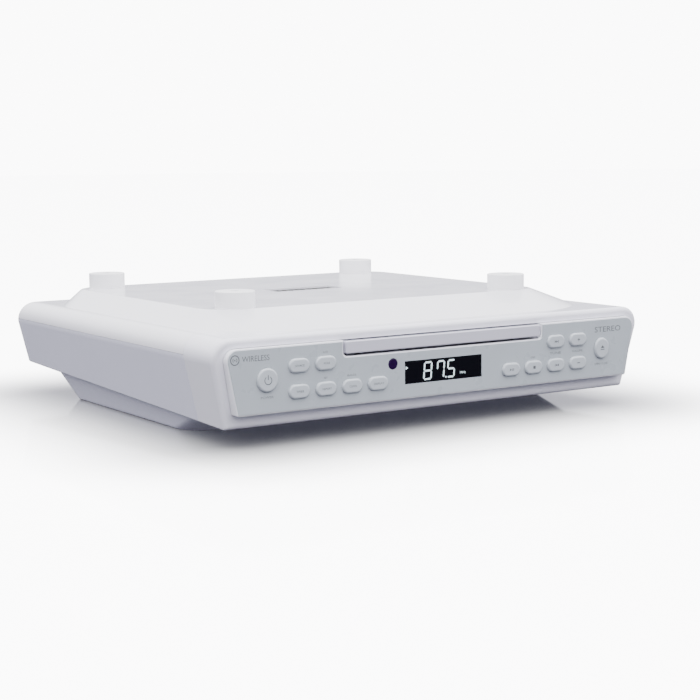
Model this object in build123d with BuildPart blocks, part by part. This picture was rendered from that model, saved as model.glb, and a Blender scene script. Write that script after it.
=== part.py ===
from build123d import *
import math
import os

# Under-cabinet kitchen radio with a front-loading disc drawer.
# Millimetres. +X runs left to right seen from the front, -Y is the front, +Z is up.
# The origin is the middle of the footprint, on the surface the radio stands on.

os.makedirs("parts", exist_ok=True)

# ---------------------------------------------------------------- casing dimensions
CASE_DEPTH = 306.2          # front frame's upper edge to the rear wall
PANEL_PROUD = 3.3           # panel face ahead of the frame's upper edge
KEY_PROUD = 1.5             # key faces ahead of the panel face
OVERALL_DEPTH = CASE_DEPTH + PANEL_PROUD + KEY_PROUD
REAR_Y = OVERALL_DEPTH / 2
FRONT_Y = REAR_Y - CASE_DEPTH
FRAME_REAR_Y = FRONT_Y + 37.0

TOP_Z = 65.6
SEAM_Z = 53.8
SEAM_HALF_WIDTH = 162.87    # straight side wall, carried up to the seam height
SIDE_TAPER = 0.235          # the side walls close in by this much per mm downwards
FACE_LEAN = 0.09            # the frame's face falls back by this much per mm downwards
UNDER_FRONT_Z = 11.4
UNDER_REAR_Z = 21.9
REAR_LEAN = 0.0275          # the rear wall comes forward by this much per mm downwards
UNDER_FRONT_Y = FRONT_Y + (TOP_Z - UNDER_FRONT_Z) * FACE_LEAN
UNDER_REAR_Y = REAR_Y + (UNDER_REAR_Z - SEAM_Z) * REAR_LEAN
UNDER_SLOPE = (UNDER_REAR_Z - UNDER_FRONT_Z) / (UNDER_REAR_Y - UNDER_FRONT_Y)
WALL = 2.5
GAP = 0.2                   # assembly gap between neighbouring mouldings

CORNER_RADIUS = 8.0         # rear corners in plan
SHOULDER_RADIUS = 12.0      # long rounded edge between side wall and top
FACE_EDGE_RADIUS = 3.0
UNDER_EDGE_RADIUS = 1.5

# Raised deck on the top cover
DECK_Z = 75.5
DECK_BASE_HALF_WIDTH = 149.5
DECK_BASE_FRONT = FRONT_Y + 13.0
DECK_BASE_REAR = FRONT_Y + 294.0
DECK_BASE_CORNER = 62.0
DECK_TOP_HALF_WIDTH = 129.0
DECK_TOP_FRONT = FRONT_Y + 61.5
DECK_TOP_REAR = FRONT_Y + 277.0
DECK_TOP_CORNER = 20.0
DECK_EDGE_RADIUS = 2.5

# Mounting spacers and the screw pattern they stand on
SPACER_X = 107.0
SPACER_FRONT_Y = -77.0
SPACER_REAR_Y = 115.0
SPACER_RADIUS = 12.75
SPACER_HEIGHT = 10.5
SPACER_EDGE_RADIUS = 0.6
SPACER_BORE = 2.75
INSERT_RADIUS = 4.0
INSERT_BORE = 2.5
INSERT_LENGTH = 14.0
INSERT_BOSS = 3.0           # wall round each insert
SPACER_SPOTS = [(x, y) for x in (-SPACER_X, SPACER_X) for y in (SPACER_FRONT_Y, SPACER_REAR_Y)]

# Tub under the casing
TUB_FLOOR_HALF_WIDTH = 142.0
TUB_FLOOR_FRONT = FRONT_Y + 73.0
TUB_FLOOR_REAR = FRONT_Y + 246.0
TUB_FRONT_CORNER = 22.0
TUB_REAR_CORNER = 8.0
TUB_SIDE_RUN = 0.40         # outward run of each wall per mm of height
TUB_FRONT_RUN = 2.75
TUB_REAR_RUN = 0.90
TUB_RISE = 30.0             # height up to which the tub is drawn; the casing trims it
TUB_EDGE_RADIUS = 2.0

# Vent in the deck
VENT_CENTRE = (-2.3, 14.3)
VENT_SIZE = (54.0, 20.0)
VENT_CORNER = 0.8
VENT_PLATE = 1.4
VENT_SLOTS = (10, 2)
VENT_PITCH = (5.0, 8.6)
VENT_SLOT = (7.0, 1.8)

# Speakers
SPEAKER_X = 100.0
SPEAKER_Y = -30.0
SPEAKER_RADIUS = 38.5
CONE_RADIUS = 31.0
GRILLE_PITCH = 5.6
GRILLE_SLOT = 2.6
GRILLE_ROWS = 5             # slots on each side of the middle one
SPEAKER_FLANGE = 3.0
CONE_GAP = 1.2              # between the cone's rim and the frame
BASKET_RADIUS = SPEAKER_RADIUS - 2
BASKET_HEIGHT = 9.0
BASKET_ROOF = 1.5
BASKET_WINDOW = (14.0, 6.0)
MAGNET_RADIUS = 22.0
MAGNET_HEIGHT = 10.0
MAGNET_BORE = 10.0
BACK_PLATE_RADIUS = 20.0
BACK_PLATE_THICKNESS = 3.0
PAPER = 0.8                 # wall of the cone and of the coil former
CONE_APEX_Z = 5.6           # heights above the tub's inner floor
CONE_DISH = 3.0
SURROUND = 4.0
SURROUND_Z = 3.2
COIL_RADIUS = 8.4
COIL_TOP_Z = 18.0

# ---------------------------------------------------------------- front panel dimensions
PANEL_FACE_Y = FRONT_Y - PANEL_PROUD
OVERLAY_THICKNESS = 0.4
PANEL_BACK_Y = PANEL_FACE_Y + 11.5
PANEL_TOP_Z = 59.6
PANEL_BOTTOM_Z = 20.2
PANEL_TOP_HALF = 156.8
PANEL_BOTTOM_HALF = 148.8
PANEL_TOP_CORNER = 7.0
PANEL_BOTTOM_CORNER = 1.5
PANEL_PLATE = 2.5
PANEL_EDGE_RADIUS = 0.5
PANEL_RIM = 2.0             # wall left round the pocket behind the plate
OVERLAY_MARGIN = 0.9

BAR_HALF = 74.6
BAR_BOTTOM_Z = 51.4
BAR_TOP_Z = 59.1
BAR_THICKNESS = 8.4
NOTCH_HALF = 76.0
NOTCH_BOTTOM_Z = 49.9
NOTCH_CORNER = 3.0

DISPLAY_X = -2.2
DISPLAY_Z = 36.4
DISPLAY_WIDTH = 58.8
DISPLAY_HEIGHT = 14.1
LENS_LEDGE = 1.0            # ledge that the lens rests on
LENS_SEAT = 1.8             # depth of the ledge behind the panel face
LENS_THICKNESS = 1.7
IR_X = -40.5
IR_Z = 42.7
IR_RADIUS = 3.4
IR_FLANGE = (0.8, 1.4)      # how far it stands out, and its thickness
IR_FLANGE_Y = PANEL_FACE_Y + 4.4
IR_BACK_Y = PANEL_FACE_Y + 3.2
IR_LENGTH = 3.4

# Keys: name, x, z, width, height. A key as wide as it is high is round.
ROW_UPPER = 47.2
ROW_LOWER = 31.8
PILL = (14.6, 8.8)
KEYS = {
    "power_key": (-129.0, 40.3, 14.3, 14.3),
    "source_key": (-107.5, ROW_UPPER, *PILL),
    "mode_key": (-88.9, ROW_UPPER, *PILL),
    "timer_key": (-107.5, ROW_LOWER, *PILL),
    "memory_key": (-88.9, ROW_LOWER, *PILL),
    "clock_key": (-70.4, ROW_LOWER, *PILL),
    "display_key": (-51.8, ROW_LOWER, *PILL),
    "play_key": (50.6, ROW_LOWER, *PILL),
    "stop_key": (69.0, ROW_LOWER, *PILL),
    "skip_back_key": (87.6, ROW_LOWER, *PILL),
    "volume_down_key": (106.3, ROW_LOWER, *PILL),
    "skip_forward_key": (87.6, ROW_UPPER, *PILL),
    "volume_up_key": (106.3, ROW_UPPER, *PILL),
    "eject_key": (127.0, 39.9, 12.6, 14.2),
}
KEY_CLEARANCE = 0.1         # sliding fit of each key in the panel
KEY_GAP = 0.3               # ahead of the flange at rest, and before the switch at full travel
KEY_FLANGE = 1.0
KEY_FLANGE_RIM = 1.0
KEY_TRAVEL = 0.8
KEY_EDGE_RADIUS = 1.4
BOARD_FACE_Y = PANEL_FACE_Y + 9.4
BOARD_THICKNESS = 1.6
SWITCH_SIZE = 6.0
SWITCH_DEPTH = 3.5
PLUNGER_RADIUS = 1.6
FRONT_BOARD = (280.0, 33.0)
FRONT_BOARD_Z = 39.2
FRONT_BOARD_NOTCH = (2 * NOTCH_HALF + 8, 26.0)
FRONT_BOARD_NOTCH_Z = 60.0
FRONT_BOARD_HOLES = [(-137.0, 27.0), (137.0, 27.0), (-44.0, 25.5), (38.0, 25.5)]
BOARD_CORNER = 2.0
BOARD_HOLE_RADIUS = 1.6
DISPLAY_CAN = (DISPLAY_WIDTH + 6, DISPLAY_HEIGHT + 5)
DISPLAY_GLASS = (DISPLAY_WIDTH - 4, DISPLAY_HEIGHT - 3)

# ---------------------------------------------------------------- disc drive dimensions
DISC_Y = -78.0
DISC_RECESS_RADIUS = 60.75
SMALL_RECESS_RADIUS = 40.75
TRAY_BOTTOM_Z = 52.2
TRAY_TOP_Z = 56.8
DISC_FLOOR_Z = 54.4
SMALL_FLOOR_Z = 53.6
TRAY_HALF = 68.0
TRAY_FRONT_Y = PANEL_FACE_Y - 0.4 + BAR_THICKNESS
TRAY_REAR_Y = 16.0
SLOT_HALF = 18.0

RAIL_INNER = 63.0
RAIL_OUTER = 71.0
RAIL_BOTTOM_Z = 44.0
RAIL_TOP_Z = 59.0
DRIVE_FLOOR_Z = 44.0
DRIVE_FLOOR_TOP = 46.0
DRIVE_FRONT_Y = -141.8
DRIVE_REAR_Y = 20.0
RUN_GAP = 0.3               # running clearance around the sliding tray

MODULE = 0.8
RACK_TEETH_Z = 50.2
RACK_BACK = 3.0
PINION_TEETH = 18
WHEEL_TEETH = 34
SMALL_TEETH = 14
GEAR_Y = -127.0
TRAY_GEAR_X = -46.0
PULLEY_GEAR_X = TRAY_GEAR_X + MODULE * (WHEEL_TEETH + SMALL_TEETH) / 2
MOTOR_X = 12.0
PULLEY_RADIUS = 9.5
MOTOR_PULLEY_RADIUS = 3.0
PULLEY_Z = 50.0
BELT_THICKNESS = 1.0
BELT_HEIGHT = 1.2
SHAFT_RADIUS = 1.5
SHAFT_GAP = 0.05

TRAVERSE_Z = 40.0
TRAVERSE_THICKNESS = 2.4
HINGE_Y = 8.0
HINGE_Z = 41.5
HINGE_RADIUS = 2.0
CAM_Y = -112.0
CAM_STROKE = 12.0
CAM_DROP = 10.5             # how far the traverse's front pin goes down over the cam's stroke
CAM_PIN_RADIUS = 1.5
TURNTABLE_Z = 55.6
TURNTABLE_RADIUS = 14.0
PICKUP_Y = -52.0
ROD_X = 22.0
ROD_Z = 45.0
ROD_RADIUS = 1.5
SLED_TEETH = 12
SLED_X = 33.8
SLED_Y = -36.0
SLED_Z = 46.8
SLED_FACE = 3.0
PICKUP_BOTTOM_Z = 43.0
PICKUP_BODY = (34.0, 22.0, 8.0)
PICKUP_SHOE = (9.0, 12.0, 4.2)
PICKUP_SHOE_X = 20.5
LENS_Y = PICKUP_Y - 3
LENS_HOLDER = (14.0, 12.0, 1.2)
LENS_RADIUS = 3.0
LENS_HEIGHT = 0.9
SLED_ARM = (22.0, 11.0, 8.0)
SLED_RACK_START_Y = -78.0
SLED_RACK_LENGTH = 46.0
SLED_MOTOR_RADIUS = 6.0
SLED_MOTOR_LENGTH = 12.0
MOTOR_SHAFT_RADIUS = 1.0

# Opening in the drive's floor: the traverse swings down through it
WINDOW_X = 4.0
WINDOW_Y = -45.75
WINDOW_SIZE = (80.0, 123.5)
LEG_RADIUS = 3.5
GEAR_POST_LENGTH = 5.9
CAM_RIB_DEPTH = 6.0
CAM_RIB_THICKNESS = 1.2
CAM_FRONT_RIB = (0.0, CAM_Y - 3.1, 60.0)
CAM_REAR_RIBS = [(-19.0, CAM_Y + 2.6), (19.0, CAM_Y + 2.6)]
CAM_REAR_RIB_LENGTH = 26.0
EAR_SPOTS = [(-38.1, HINGE_Y), (46.1, HINGE_Y)]
EAR_SIZE = (3.0, 8.0, 6.5)

# Loading gears, from their washers upwards
GEAR_LIFT = 0.3
WHEEL_FACE = 2.0
PINION_FACE = 3.6
SMALL_FACE = 2.3
PULLEY_FACE = 2.8
PULLEY_RIM = 0.7
PULLEY_GROOVE = 1.6
MOTOR_PULLEY_RIM = 0.8
LOADING_MOTOR_RADIUS = 10.0
LOADING_MOTOR_LENGTH = 18.0

# Cam plate and its slot
CAM_PLATE = (32.0, 16.4)
CAM_PLATE_AT = (-6.0, 35.4)
CAM_THICKNESS = 3.0
CAM_SLOT_GAP = 0.4

# Traverse plate
TRAVERSE_Y = -47.0
TRAVERSE_SIZE = (76.0, 118.0)
TRAVERSE_WINDOW = (-34.0, 34.0, 60.0)
TRAVERSE_RIB = (2.0, 104.0, 3.0)
TRAVERSE_RIB_X = (-33.0, 41.0)
ROD_SEAT = (5.0, 3.0)
ROD_SEAT_PITCH = 65.0
ROD_LENGTH = 68.0
HINGE_PIN_ENDS = (-40.0, 48.0)
HINGE_PIN_LENGTH = 8.0
CAM_PIN_ROOT_Y = -104.0
CAM_PIN_REACH = 2.0         # how far the pin ends ahead of the cam plate's middle
SPINDLE_MOTOR_RADIUS = 12.0
SPINDLE_MOTOR_HEIGHT = 6.0
SPINDLE_LENGTH = 6.0

# Turntable hub with its three jaws
HUB_RADIUS = 5.0
HUB_DEPTH = 6.6
TURNTABLE_THICKNESS = 1.6
SPINDLE_SEAT = 0.6
JAW_RADIUS = 7.3
JAW_TIP_RADIUS = 5.4
JAW_HEIGHT = 1.8
JAW_GAP = (4.0, 1.6)
JAW_GAP_RADIUS = 6.2

# Disc clamp
BRIDGE_Z = 60.2
BRIDGE_WIDTH = 28.0
BRIDGE_THICKNESS = 1.2
BRIDGE_HOLE_RADIUS = 7.5
BRIDGE_FOOT = 8.0
PUCK_Z = 57.8
PUCK_RADII = (14.0, 6.0, 10.0)
PUCK_HEIGHTS = (1.8, 2.1, 1.5)
PUCK_POCKET = (6.0, 1.8, 1.0)

# Sockets in the rear wall
PORT_Z = 38.0
PORT_GAP = 0.4              # between the leaning wall's inner face and a socket's flange
MAINS_X = 118.0
AUX_X = -60.0
ANTENNA_X = -118.0
AUX_BORE = 1.75
AUX_DEPTH = 14.0
AUX_BARREL_RADIUS = 3.6
AUX_BODY = (12.0, 10.0, 12.0)
MAINS_GLAND_RADIUS = 5.5
MAINS_GLAND_BORE = 3.3
ANTENNA_GLAND_RADIUS = 2.6
ANTENNA_GLAND_BORE = 1.0
GLAND_FLANGE = (1.5, 2.6)   # how far it stands out, and its thickness
GLAND_DEPTH = 8.0

# Long screws that close the casing from below, and short ones that hold the disc drive
FRONT_SCREWS = [(-105.0, -121.0), (105.0, -121.0)]
REAR_SCREWS = [(-125.0, 134.0), (0.0, 134.0), (125.0, 134.0)]
COVER_SCREWS = FRONT_SCREWS + REAR_SCREWS
DRIVE_SCREWS = [(-66.0, -70.0), (66.0, -70.0), (-66.0, 14.0), (66.0, 14.0)]
WELL_TOP_Z = 34.0
WELL_RADIUS = 5.0
POST_RADIUS = 4.0
SCREW_RADIUS = 1.5
SCREW_LENGTH = 14.0
HEAD_RADIUS = 3.0
HEAD_HEIGHT = 2.0
HEAD_CLEARANCE = 0.4
SEAT_THICKNESS = 2.5        # material under the heads of the casing screws
CROSS_LENGTH = 3.2
CROSS_WIDTH = 0.8
CROSS_DEPTH = 0.9
DRIVE_HEAD = (0.2, 1.2)     # height of the drive screws' heads above the standing face, and thickness
DRIVE_SCREW_LENGTH = 10.0

# Electronics
MAIN_BOARD_Z = 26.0
MAIN_BOARD = (-40.0, 78.0, 160.0, 86.0)
BOARD_POSTS = [(-112.0, 42.0), (32.0, 42.0), (-112.0, 84.0), (32.0, 84.0)]
BOARD_POST_RADIUS = 3.0
BIG_CAPACITORS = [(-100.0, 60.0), (-100.0, 76.0), (20.0, 60.0), (20.0, 74.0)]
SMALL_CAPACITORS = [(-84.0, 60.0), (-84.0, 68.0), (-84.0, 76.0), (4.0, 60.0)]
CAPACITOR_RADII = (5.0, 3.0)
CAPACITOR_HEIGHT = 14.0
CHIPS = [                   # x, y, width, length
    (-60.0, 70.0, 14.0, 14.0),
    (-30.0, 66.0, 8.0, 18.0),
    (-12.0, 66.0, 8.0, 18.0),
    (-36.0, 96.0, 20.0, 9.0),
]
CHIP_HEIGHT = 1.6
HEADERS = [(-70.0, 40.0), (-40.0, 40.0), (0.0, 40.0)]
HEADER_SIZE = (22.0, 5.0, 7.0)
HEAT_SINK_X = 16.0
HEAT_SINK_PLATE = (102.0, 40.0, 3.0)
HEAT_SINK_FINS = (107.0, 1.4, 9.0)
HEAT_SINK_FIN_PITCH = 6.0
HEAT_SINK_FIN_COUNT = 7
HEAT_SINK_HEIGHT = 22.0
WIRELESS_BOARD = (-86.0, 104.0, 24.0, 15.0, 0.8)
WIRELESS_SHIELD = (-89.0, 104.0, 16.0, 12.0, 2.2)
TRANSFORMER_AT = (92.0, 58.0)
TRANSFORMER_STRAP = (66.0, 26.0, 2.0)
TRANSFORMER_CORE = (46.0, 20.0, 38.0)
TRANSFORMER_COIL = (30.0, 36.0, 26.0)
TRANSFORMER_COIL_LIFT = 8.0
TRANSFORMER_HOLE_X = 27.0


# ---------------------------------------------------------------- shared shapes
def front_plane(y):
    """Plane at depth y that faces the front: local x is +X and local y is +Z."""
    return Plane.XZ.offset(-y)


def side_half_width(z):
    """Half width of the straight side walls at height z."""
    return SEAM_HALF_WIDTH - (SEAM_Z - z) * SIDE_TAPER


def face_y(z):
    """Depth of the frame's leaning face at height z."""
    return FRONT_Y + (TOP_Z - z) * FACE_LEAN


def rear_y(z):
    """Depth of the rear wall's outer face at height z."""
    return REAR_Y + (z - SEAM_Z) * REAR_LEAN


def underside_z(y):
    """Height of the sloping underside at depth y."""
    return UNDER_FRONT_Z + (y - UNDER_FRONT_Y) * UNDER_SLOPE


def casing(inset):
    """Body of the whole casing with every wall moved in by inset."""
    top = TOP_Z - inset
    low = UNDER_FRONT_Z + inset
    high = UNDER_REAR_Z + inset
    with BuildPart() as body:
        with BuildSketch(Plane.YZ):
            with BuildLine():
                Polyline(
                    (face_y(low) + inset, low),
                    (rear_y(high) - inset, high),
                    (rear_y(top) - inset, top),
                    (face_y(top) + inset, top),
                    close=True,
                )
            make_face()
        extrude(amount=SEAM_HALF_WIDTH + 10, both=True)
        with BuildSketch(front_plane(REAR_Y + 5)):
            with BuildLine():
                Polyline(
                    (-side_half_width(0) + inset, 0),
                    (side_half_width(0) - inset, 0),
                    (side_half_width(top) - inset, top),
                    (-side_half_width(top) + inset, top),
                    close=True,
                )
            make_face()
        extrude(amount=CASE_DEPTH + 20, mode=Mode.INTERSECT)
        rear_corners = body.faces().sort_by(Axis.Y)[-1].edges().filter_by(Axis.X, reverse=True)
        fillet(rear_corners, CORNER_RADIUS - inset)
        shoulder = body.faces().sort_by(Axis.Z)[-1].edges().sort_by(Axis.Y)[1:]
        fillet(shoulder, SHOULDER_RADIUS - inset)
        if inset == 0:
            fillet(body.faces().sort_by(Axis.Y)[0].edges(), FACE_EDGE_RADIUS)
            fillet(body.faces().sort_by(Axis.Z)[0].edges(), UNDER_EDGE_RADIUS)
    return body.part


def rounded_outline(height, half_width, front_y, rear_y, front_corner, rear_corner):
    """Horizontal rectangle with rounded corners, as a face."""
    with BuildSketch(Plane.XY.offset(height), mode=Mode.PRIVATE) as outline:
        with Locations((0, (front_y + rear_y) / 2)):
            Rectangle(2 * half_width, rear_y - front_y)
        fillet(outline.vertices().group_by(Axis.Y)[0], front_corner)
        fillet(outline.vertices().group_by(Axis.Y)[-1], rear_corner)
    return outline.sketch


def deck_base(inset, height):
    """Outline of the deck's foot, moved in by inset."""
    corner = DECK_BASE_CORNER - inset
    return rounded_outline(height, DECK_BASE_HALF_WIDTH - inset, DECK_BASE_FRONT + inset,
                           DECK_BASE_REAR - inset, corner, corner)


def deck(inset):
    """Raised deck as a solid, moved in by inset."""
    base = deck_base(inset, TOP_Z - inset)
    top = rounded_outline(DECK_Z - inset, DECK_TOP_HALF_WIDTH - inset, DECK_TOP_FRONT + inset,
                          DECK_TOP_REAR - inset, DECK_TOP_CORNER - inset, DECK_TOP_CORNER - inset)
    with BuildPart() as body:
        loft([base, top])
        if inset == 0:
            fillet(body.faces().sort_by(Axis.Z)[-1].edges(), DECK_EDGE_RADIUS)
    return body.part


def tub(inset):
    """Tub as a solid that reaches up into the casing, moved in by inset."""
    floor = rounded_outline(inset, TUB_FLOOR_HALF_WIDTH - inset, TUB_FLOOR_FRONT + inset,
                            TUB_FLOOR_REAR - inset, TUB_FRONT_CORNER - inset, TUB_REAR_CORNER - inset)
    rim = rounded_outline(TUB_RISE, TUB_FLOOR_HALF_WIDTH + TUB_SIDE_RUN * TUB_RISE - inset,
                          TUB_FLOOR_FRONT - TUB_FRONT_RUN * TUB_RISE + inset,
                          TUB_FLOOR_REAR + TUB_REAR_RUN * TUB_RISE - inset,
                          TUB_FRONT_CORNER - inset, TUB_REAR_CORNER - inset)
    with BuildPart() as body:
        loft([floor, rim])
        if inset == 0:
            fillet(body.faces().sort_by(Axis.Z)[0].edges(), TUB_EDGE_RADIUS)
    return body.part


def above_underside(lift):
    """Everything above the sloping underside, moved up by lift."""
    with BuildPart() as block:
        with BuildSketch(Plane.YZ):
            with BuildLine():
                Polyline(
                    (FRONT_Y - 60, underside_z(FRONT_Y - 60) + lift),
                    (REAR_Y + 20, underside_z(REAR_Y + 20) + lift),
                    (REAR_Y + 20, 120),
                    (FRONT_Y - 60, 120),
                    close=True,
                )
            make_face()
        extrude(amount=200, both=True)
    return block.part


def panel_outline(margin):
    """Trapezoid of the control panel in the active sketch, grown by margin."""
    slope = (PANEL_TOP_HALF - PANEL_BOTTOM_HALF) / (PANEL_TOP_Z - PANEL_BOTTOM_Z)
    with BuildSketch(Plane.XY, mode=Mode.PRIVATE) as outline:
        with BuildLine():
            Polyline(
                (-PANEL_BOTTOM_HALF - margin + slope * margin, PANEL_BOTTOM_Z - margin),
                (PANEL_BOTTOM_HALF + margin - slope * margin, PANEL_BOTTOM_Z - margin),
                (PANEL_TOP_HALF + margin + slope * margin, PANEL_TOP_Z + margin),
                (-PANEL_TOP_HALF - margin - slope * margin, PANEL_TOP_Z + margin),
                close=True,
            )
        make_face()
        fillet(outline.vertices().group_by(Axis.Y)[-1], PANEL_TOP_CORNER + margin)
        fillet(outline.vertices().group_by(Axis.Y)[0], max(PANEL_BOTTOM_CORNER + margin, 0.4))
    add(outline.sketch)


def drawer_notch(margin, mode=Mode.SUBTRACT):
    """Notch for the drawer in the active sketch, open at the panel's upper edge."""
    height = PANEL_TOP_Z - NOTCH_BOTTOM_Z + margin + 10
    with BuildSketch(Plane.XY, mode=Mode.PRIVATE) as notch:
        with Locations((0, NOTCH_BOTTOM_Z - margin + height / 2)):
            RectangleRounded(2 * (NOTCH_HALF + margin), height, NOTCH_CORNER)
    add(notch.sketch, mode=mode)


def key_outline(spec, margin, mode=Mode.ADD):
    """Outline of one key in the active sketch, grown by margin."""
    x, z, width, height = spec
    with Locations((x, z)):
        if width > height:
            SlotOverall(width + 2 * margin, height + 2 * margin, mode=mode)
        elif width < height:
            Ellipse(width / 2 + margin, height / 2 + margin, mode=mode)
        else:
            Circle(width / 2 + margin, mode=mode)


def gear_outline(teeth, phase=0.0):
    """Straight-flanked gear in the active sketch, a tooth's middle at the phase angle."""
    pitch_radius = MODULE * teeth / 2
    root = pitch_radius - 1.2 * MODULE
    tip = pitch_radius + 0.85 * MODULE
    root_half = math.degrees(1.02 * MODULE / root)
    tip_half = math.degrees(0.36 * MODULE / tip)
    points = []
    for tooth in range(teeth):
        middle = phase + tooth * 360 / teeth
        for radius, offset in ((root, -root_half), (tip, -tip_half), (tip, tip_half), (root, root_half)):
            angle = math.radians(middle + offset)
            points.append((radius * math.cos(angle), radius * math.sin(angle)))
    with BuildSketch(Plane.XY, mode=Mode.PRIVATE) as outline:
        with BuildLine():
            Polyline(*points, close=True)
        make_face()
    add(outline.sketch)


def rack_outline(length, first_tooth, depth):
    """Rack along local y in the active sketch; teeth point to +x and the pitch line is x = 0."""
    pitch = math.pi * MODULE
    points = [(-depth, 0)]
    count = int((length - first_tooth) / pitch)
    for tooth in range(count + 1):
        middle = first_tooth + tooth * pitch
        if middle - 0.55 * pitch < 0 or middle + 0.55 * pitch > length:
            continue
        points.append((-1.2 * MODULE, middle - 1.02 * MODULE))
        points.append((0.85 * MODULE, middle - 0.36 * MODULE))
        points.append((0.85 * MODULE, middle + 0.36 * MODULE))
        points.append((-1.2 * MODULE, middle + 1.02 * MODULE))
    points.insert(1, (-1.2 * MODULE, 0))
    points.append((-1.2 * MODULE, length))
    points.append((-depth, length))
    with BuildSketch(Plane.XY, mode=Mode.PRIVATE) as outline:
        with BuildLine():
            Polyline(*points, close=True)
        make_face()
    add(outline.sketch)


def cover_posts(skin):
    """Posts for the long casing screws, cut to the cover's outer skin."""
    with BuildPart() as posts:
        with BuildSketch(Plane.XY.offset(WELL_TOP_Z + GAP)):
            with Locations(*COVER_SCREWS):
                Circle(POST_RADIUS)
        extrude(amount=DECK_Z - WELL_TOP_Z)
        add(skin, mode=Mode.INTERSECT)
    return posts.part


outer_casing = casing(0)
inner_casing = casing(WALL)
outer_deck = deck(0)
outer_tub = tub(0)
inner_tub = tub(WALL)


# ================================================================ casing
# ---------------------------------------------------------------- top cover
with BuildPart() as top_cover:
    add(outer_casing)
    split(bisect_by=Plane.XY.offset(SEAM_Z + GAP / 2), keep=Keep.TOP)
    split(bisect_by=front_plane(FRAME_REAR_Y + GAP / 2), keep=Keep.BOTTOM)
    add(deck_base(0, TOP_Z - WALL))
    extrude(amount=WALL)
    add(outer_deck)
    add(inner_casing, mode=Mode.SUBTRACT)
    add(deck(WALL), mode=Mode.SUBTRACT)
    # bosses that hold the threaded inserts
    with BuildSketch(Plane.XY.offset(DECK_Z - WALL - INSERT_LENGTH)):
        with Locations(*SPACER_SPOTS):
            Circle(INSERT_RADIUS + INSERT_BOSS)
    extrude(amount=INSERT_LENGTH + 0.5)
    add(cover_posts(outer_casing + outer_deck))
    with BuildSketch(Plane.XY.offset(WELL_TOP_Z)):
        with Locations(*COVER_SCREWS):
            Circle(SCREW_RADIUS + SHAFT_GAP)
    extrude(amount=SCREW_LENGTH + 2, mode=Mode.SUBTRACT)
    # seats of the inserts
    with BuildSketch(Plane.XY.offset(DECK_Z - INSERT_LENGTH)):
        with Locations(*SPACER_SPOTS):
            Circle(INSERT_RADIUS)
    extrude(amount=INSERT_LENGTH + 1, mode=Mode.SUBTRACT)
    # opening for the vent
    with BuildSketch(Plane.XY.offset(DECK_Z - 5)):
        with Locations(VENT_CENTRE):
            RectangleRounded(*VENT_SIZE, VENT_CORNER)
    extrude(amount=10, mode=Mode.SUBTRACT)
top_cover.part.label = "top_cover"
export_step(top_cover.part, "parts/top_cover.step")

# ---------------------------------------------------------------- vent grille
with BuildPart() as vent_grille:
    with BuildSketch(Plane.XY.offset(DECK_Z - WALL)):
        with Locations(VENT_CENTRE):
            RectangleRounded(VENT_SIZE[0] - GAP, VENT_SIZE[1] - GAP, VENT_CORNER - GAP / 2)
    extrude(amount=VENT_PLATE)
    with BuildSketch(Plane.XY.offset(DECK_Z - WALL - 1)):
        with Locations(VENT_CENTRE):
            with GridLocations(*VENT_PITCH, *VENT_SLOTS):
                SlotOverall(*VENT_SLOT, rotation=90)
    extrude(amount=4, mode=Mode.SUBTRACT)
vent_grille.part.label = "vent_grille"
export_step(vent_grille.part, "parts/vent_grille.step")

# ---------------------------------------------------------------- lower case
with BuildPart() as lower_case:
    add(outer_casing)
    add(inner_casing, mode=Mode.SUBTRACT)
    split(bisect_by=Plane.XY.offset(SEAM_Z - GAP / 2), keep=Keep.BOTTOM)
    split(bisect_by=front_plane(FRAME_REAR_Y + GAP / 2), keep=Keep.BOTTOM)
    add(inner_tub, mode=Mode.SUBTRACT)
    # screw wells along the rear
    well_foot_z = underside_z(REAR_SCREWS[0][1]) + 1
    with BuildSketch(Plane.XY.offset(well_foot_z)):
        with Locations(*REAR_SCREWS):
            Circle(WELL_RADIUS)
    extrude(amount=WELL_TOP_Z - well_foot_z)
    with BuildSketch(Plane.XY):
        with Locations(*REAR_SCREWS):
            Circle(HEAD_RADIUS + HEAD_CLEARANCE)
    extrude(amount=WELL_TOP_Z - SEAT_THICKNESS, mode=Mode.SUBTRACT)
    with BuildSketch(Plane.XY):
        with Locations(*REAR_SCREWS):
            Circle(SCREW_RADIUS + GAP)
    extrude(amount=WELL_TOP_Z + 1, mode=Mode.SUBTRACT)
    # holes for the sockets and glands
    with BuildSketch(front_plane(REAR_Y + 5)):
        with Locations((MAINS_X, PORT_Z)):
            Circle(MAINS_GLAND_RADIUS + SHAFT_GAP)
        with Locations((AUX_X, PORT_Z)):
            Circle(AUX_BARREL_RADIUS + SHAFT_GAP)
        with Locations((ANTENNA_X, PORT_Z)):
            Circle(ANTENNA_GLAND_RADIUS + SHAFT_GAP)
    extrude(amount=12, mode=Mode.SUBTRACT)
lower_case.part.label = "lower_case"
export_step(lower_case.part, "parts/lower_case.step")

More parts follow.
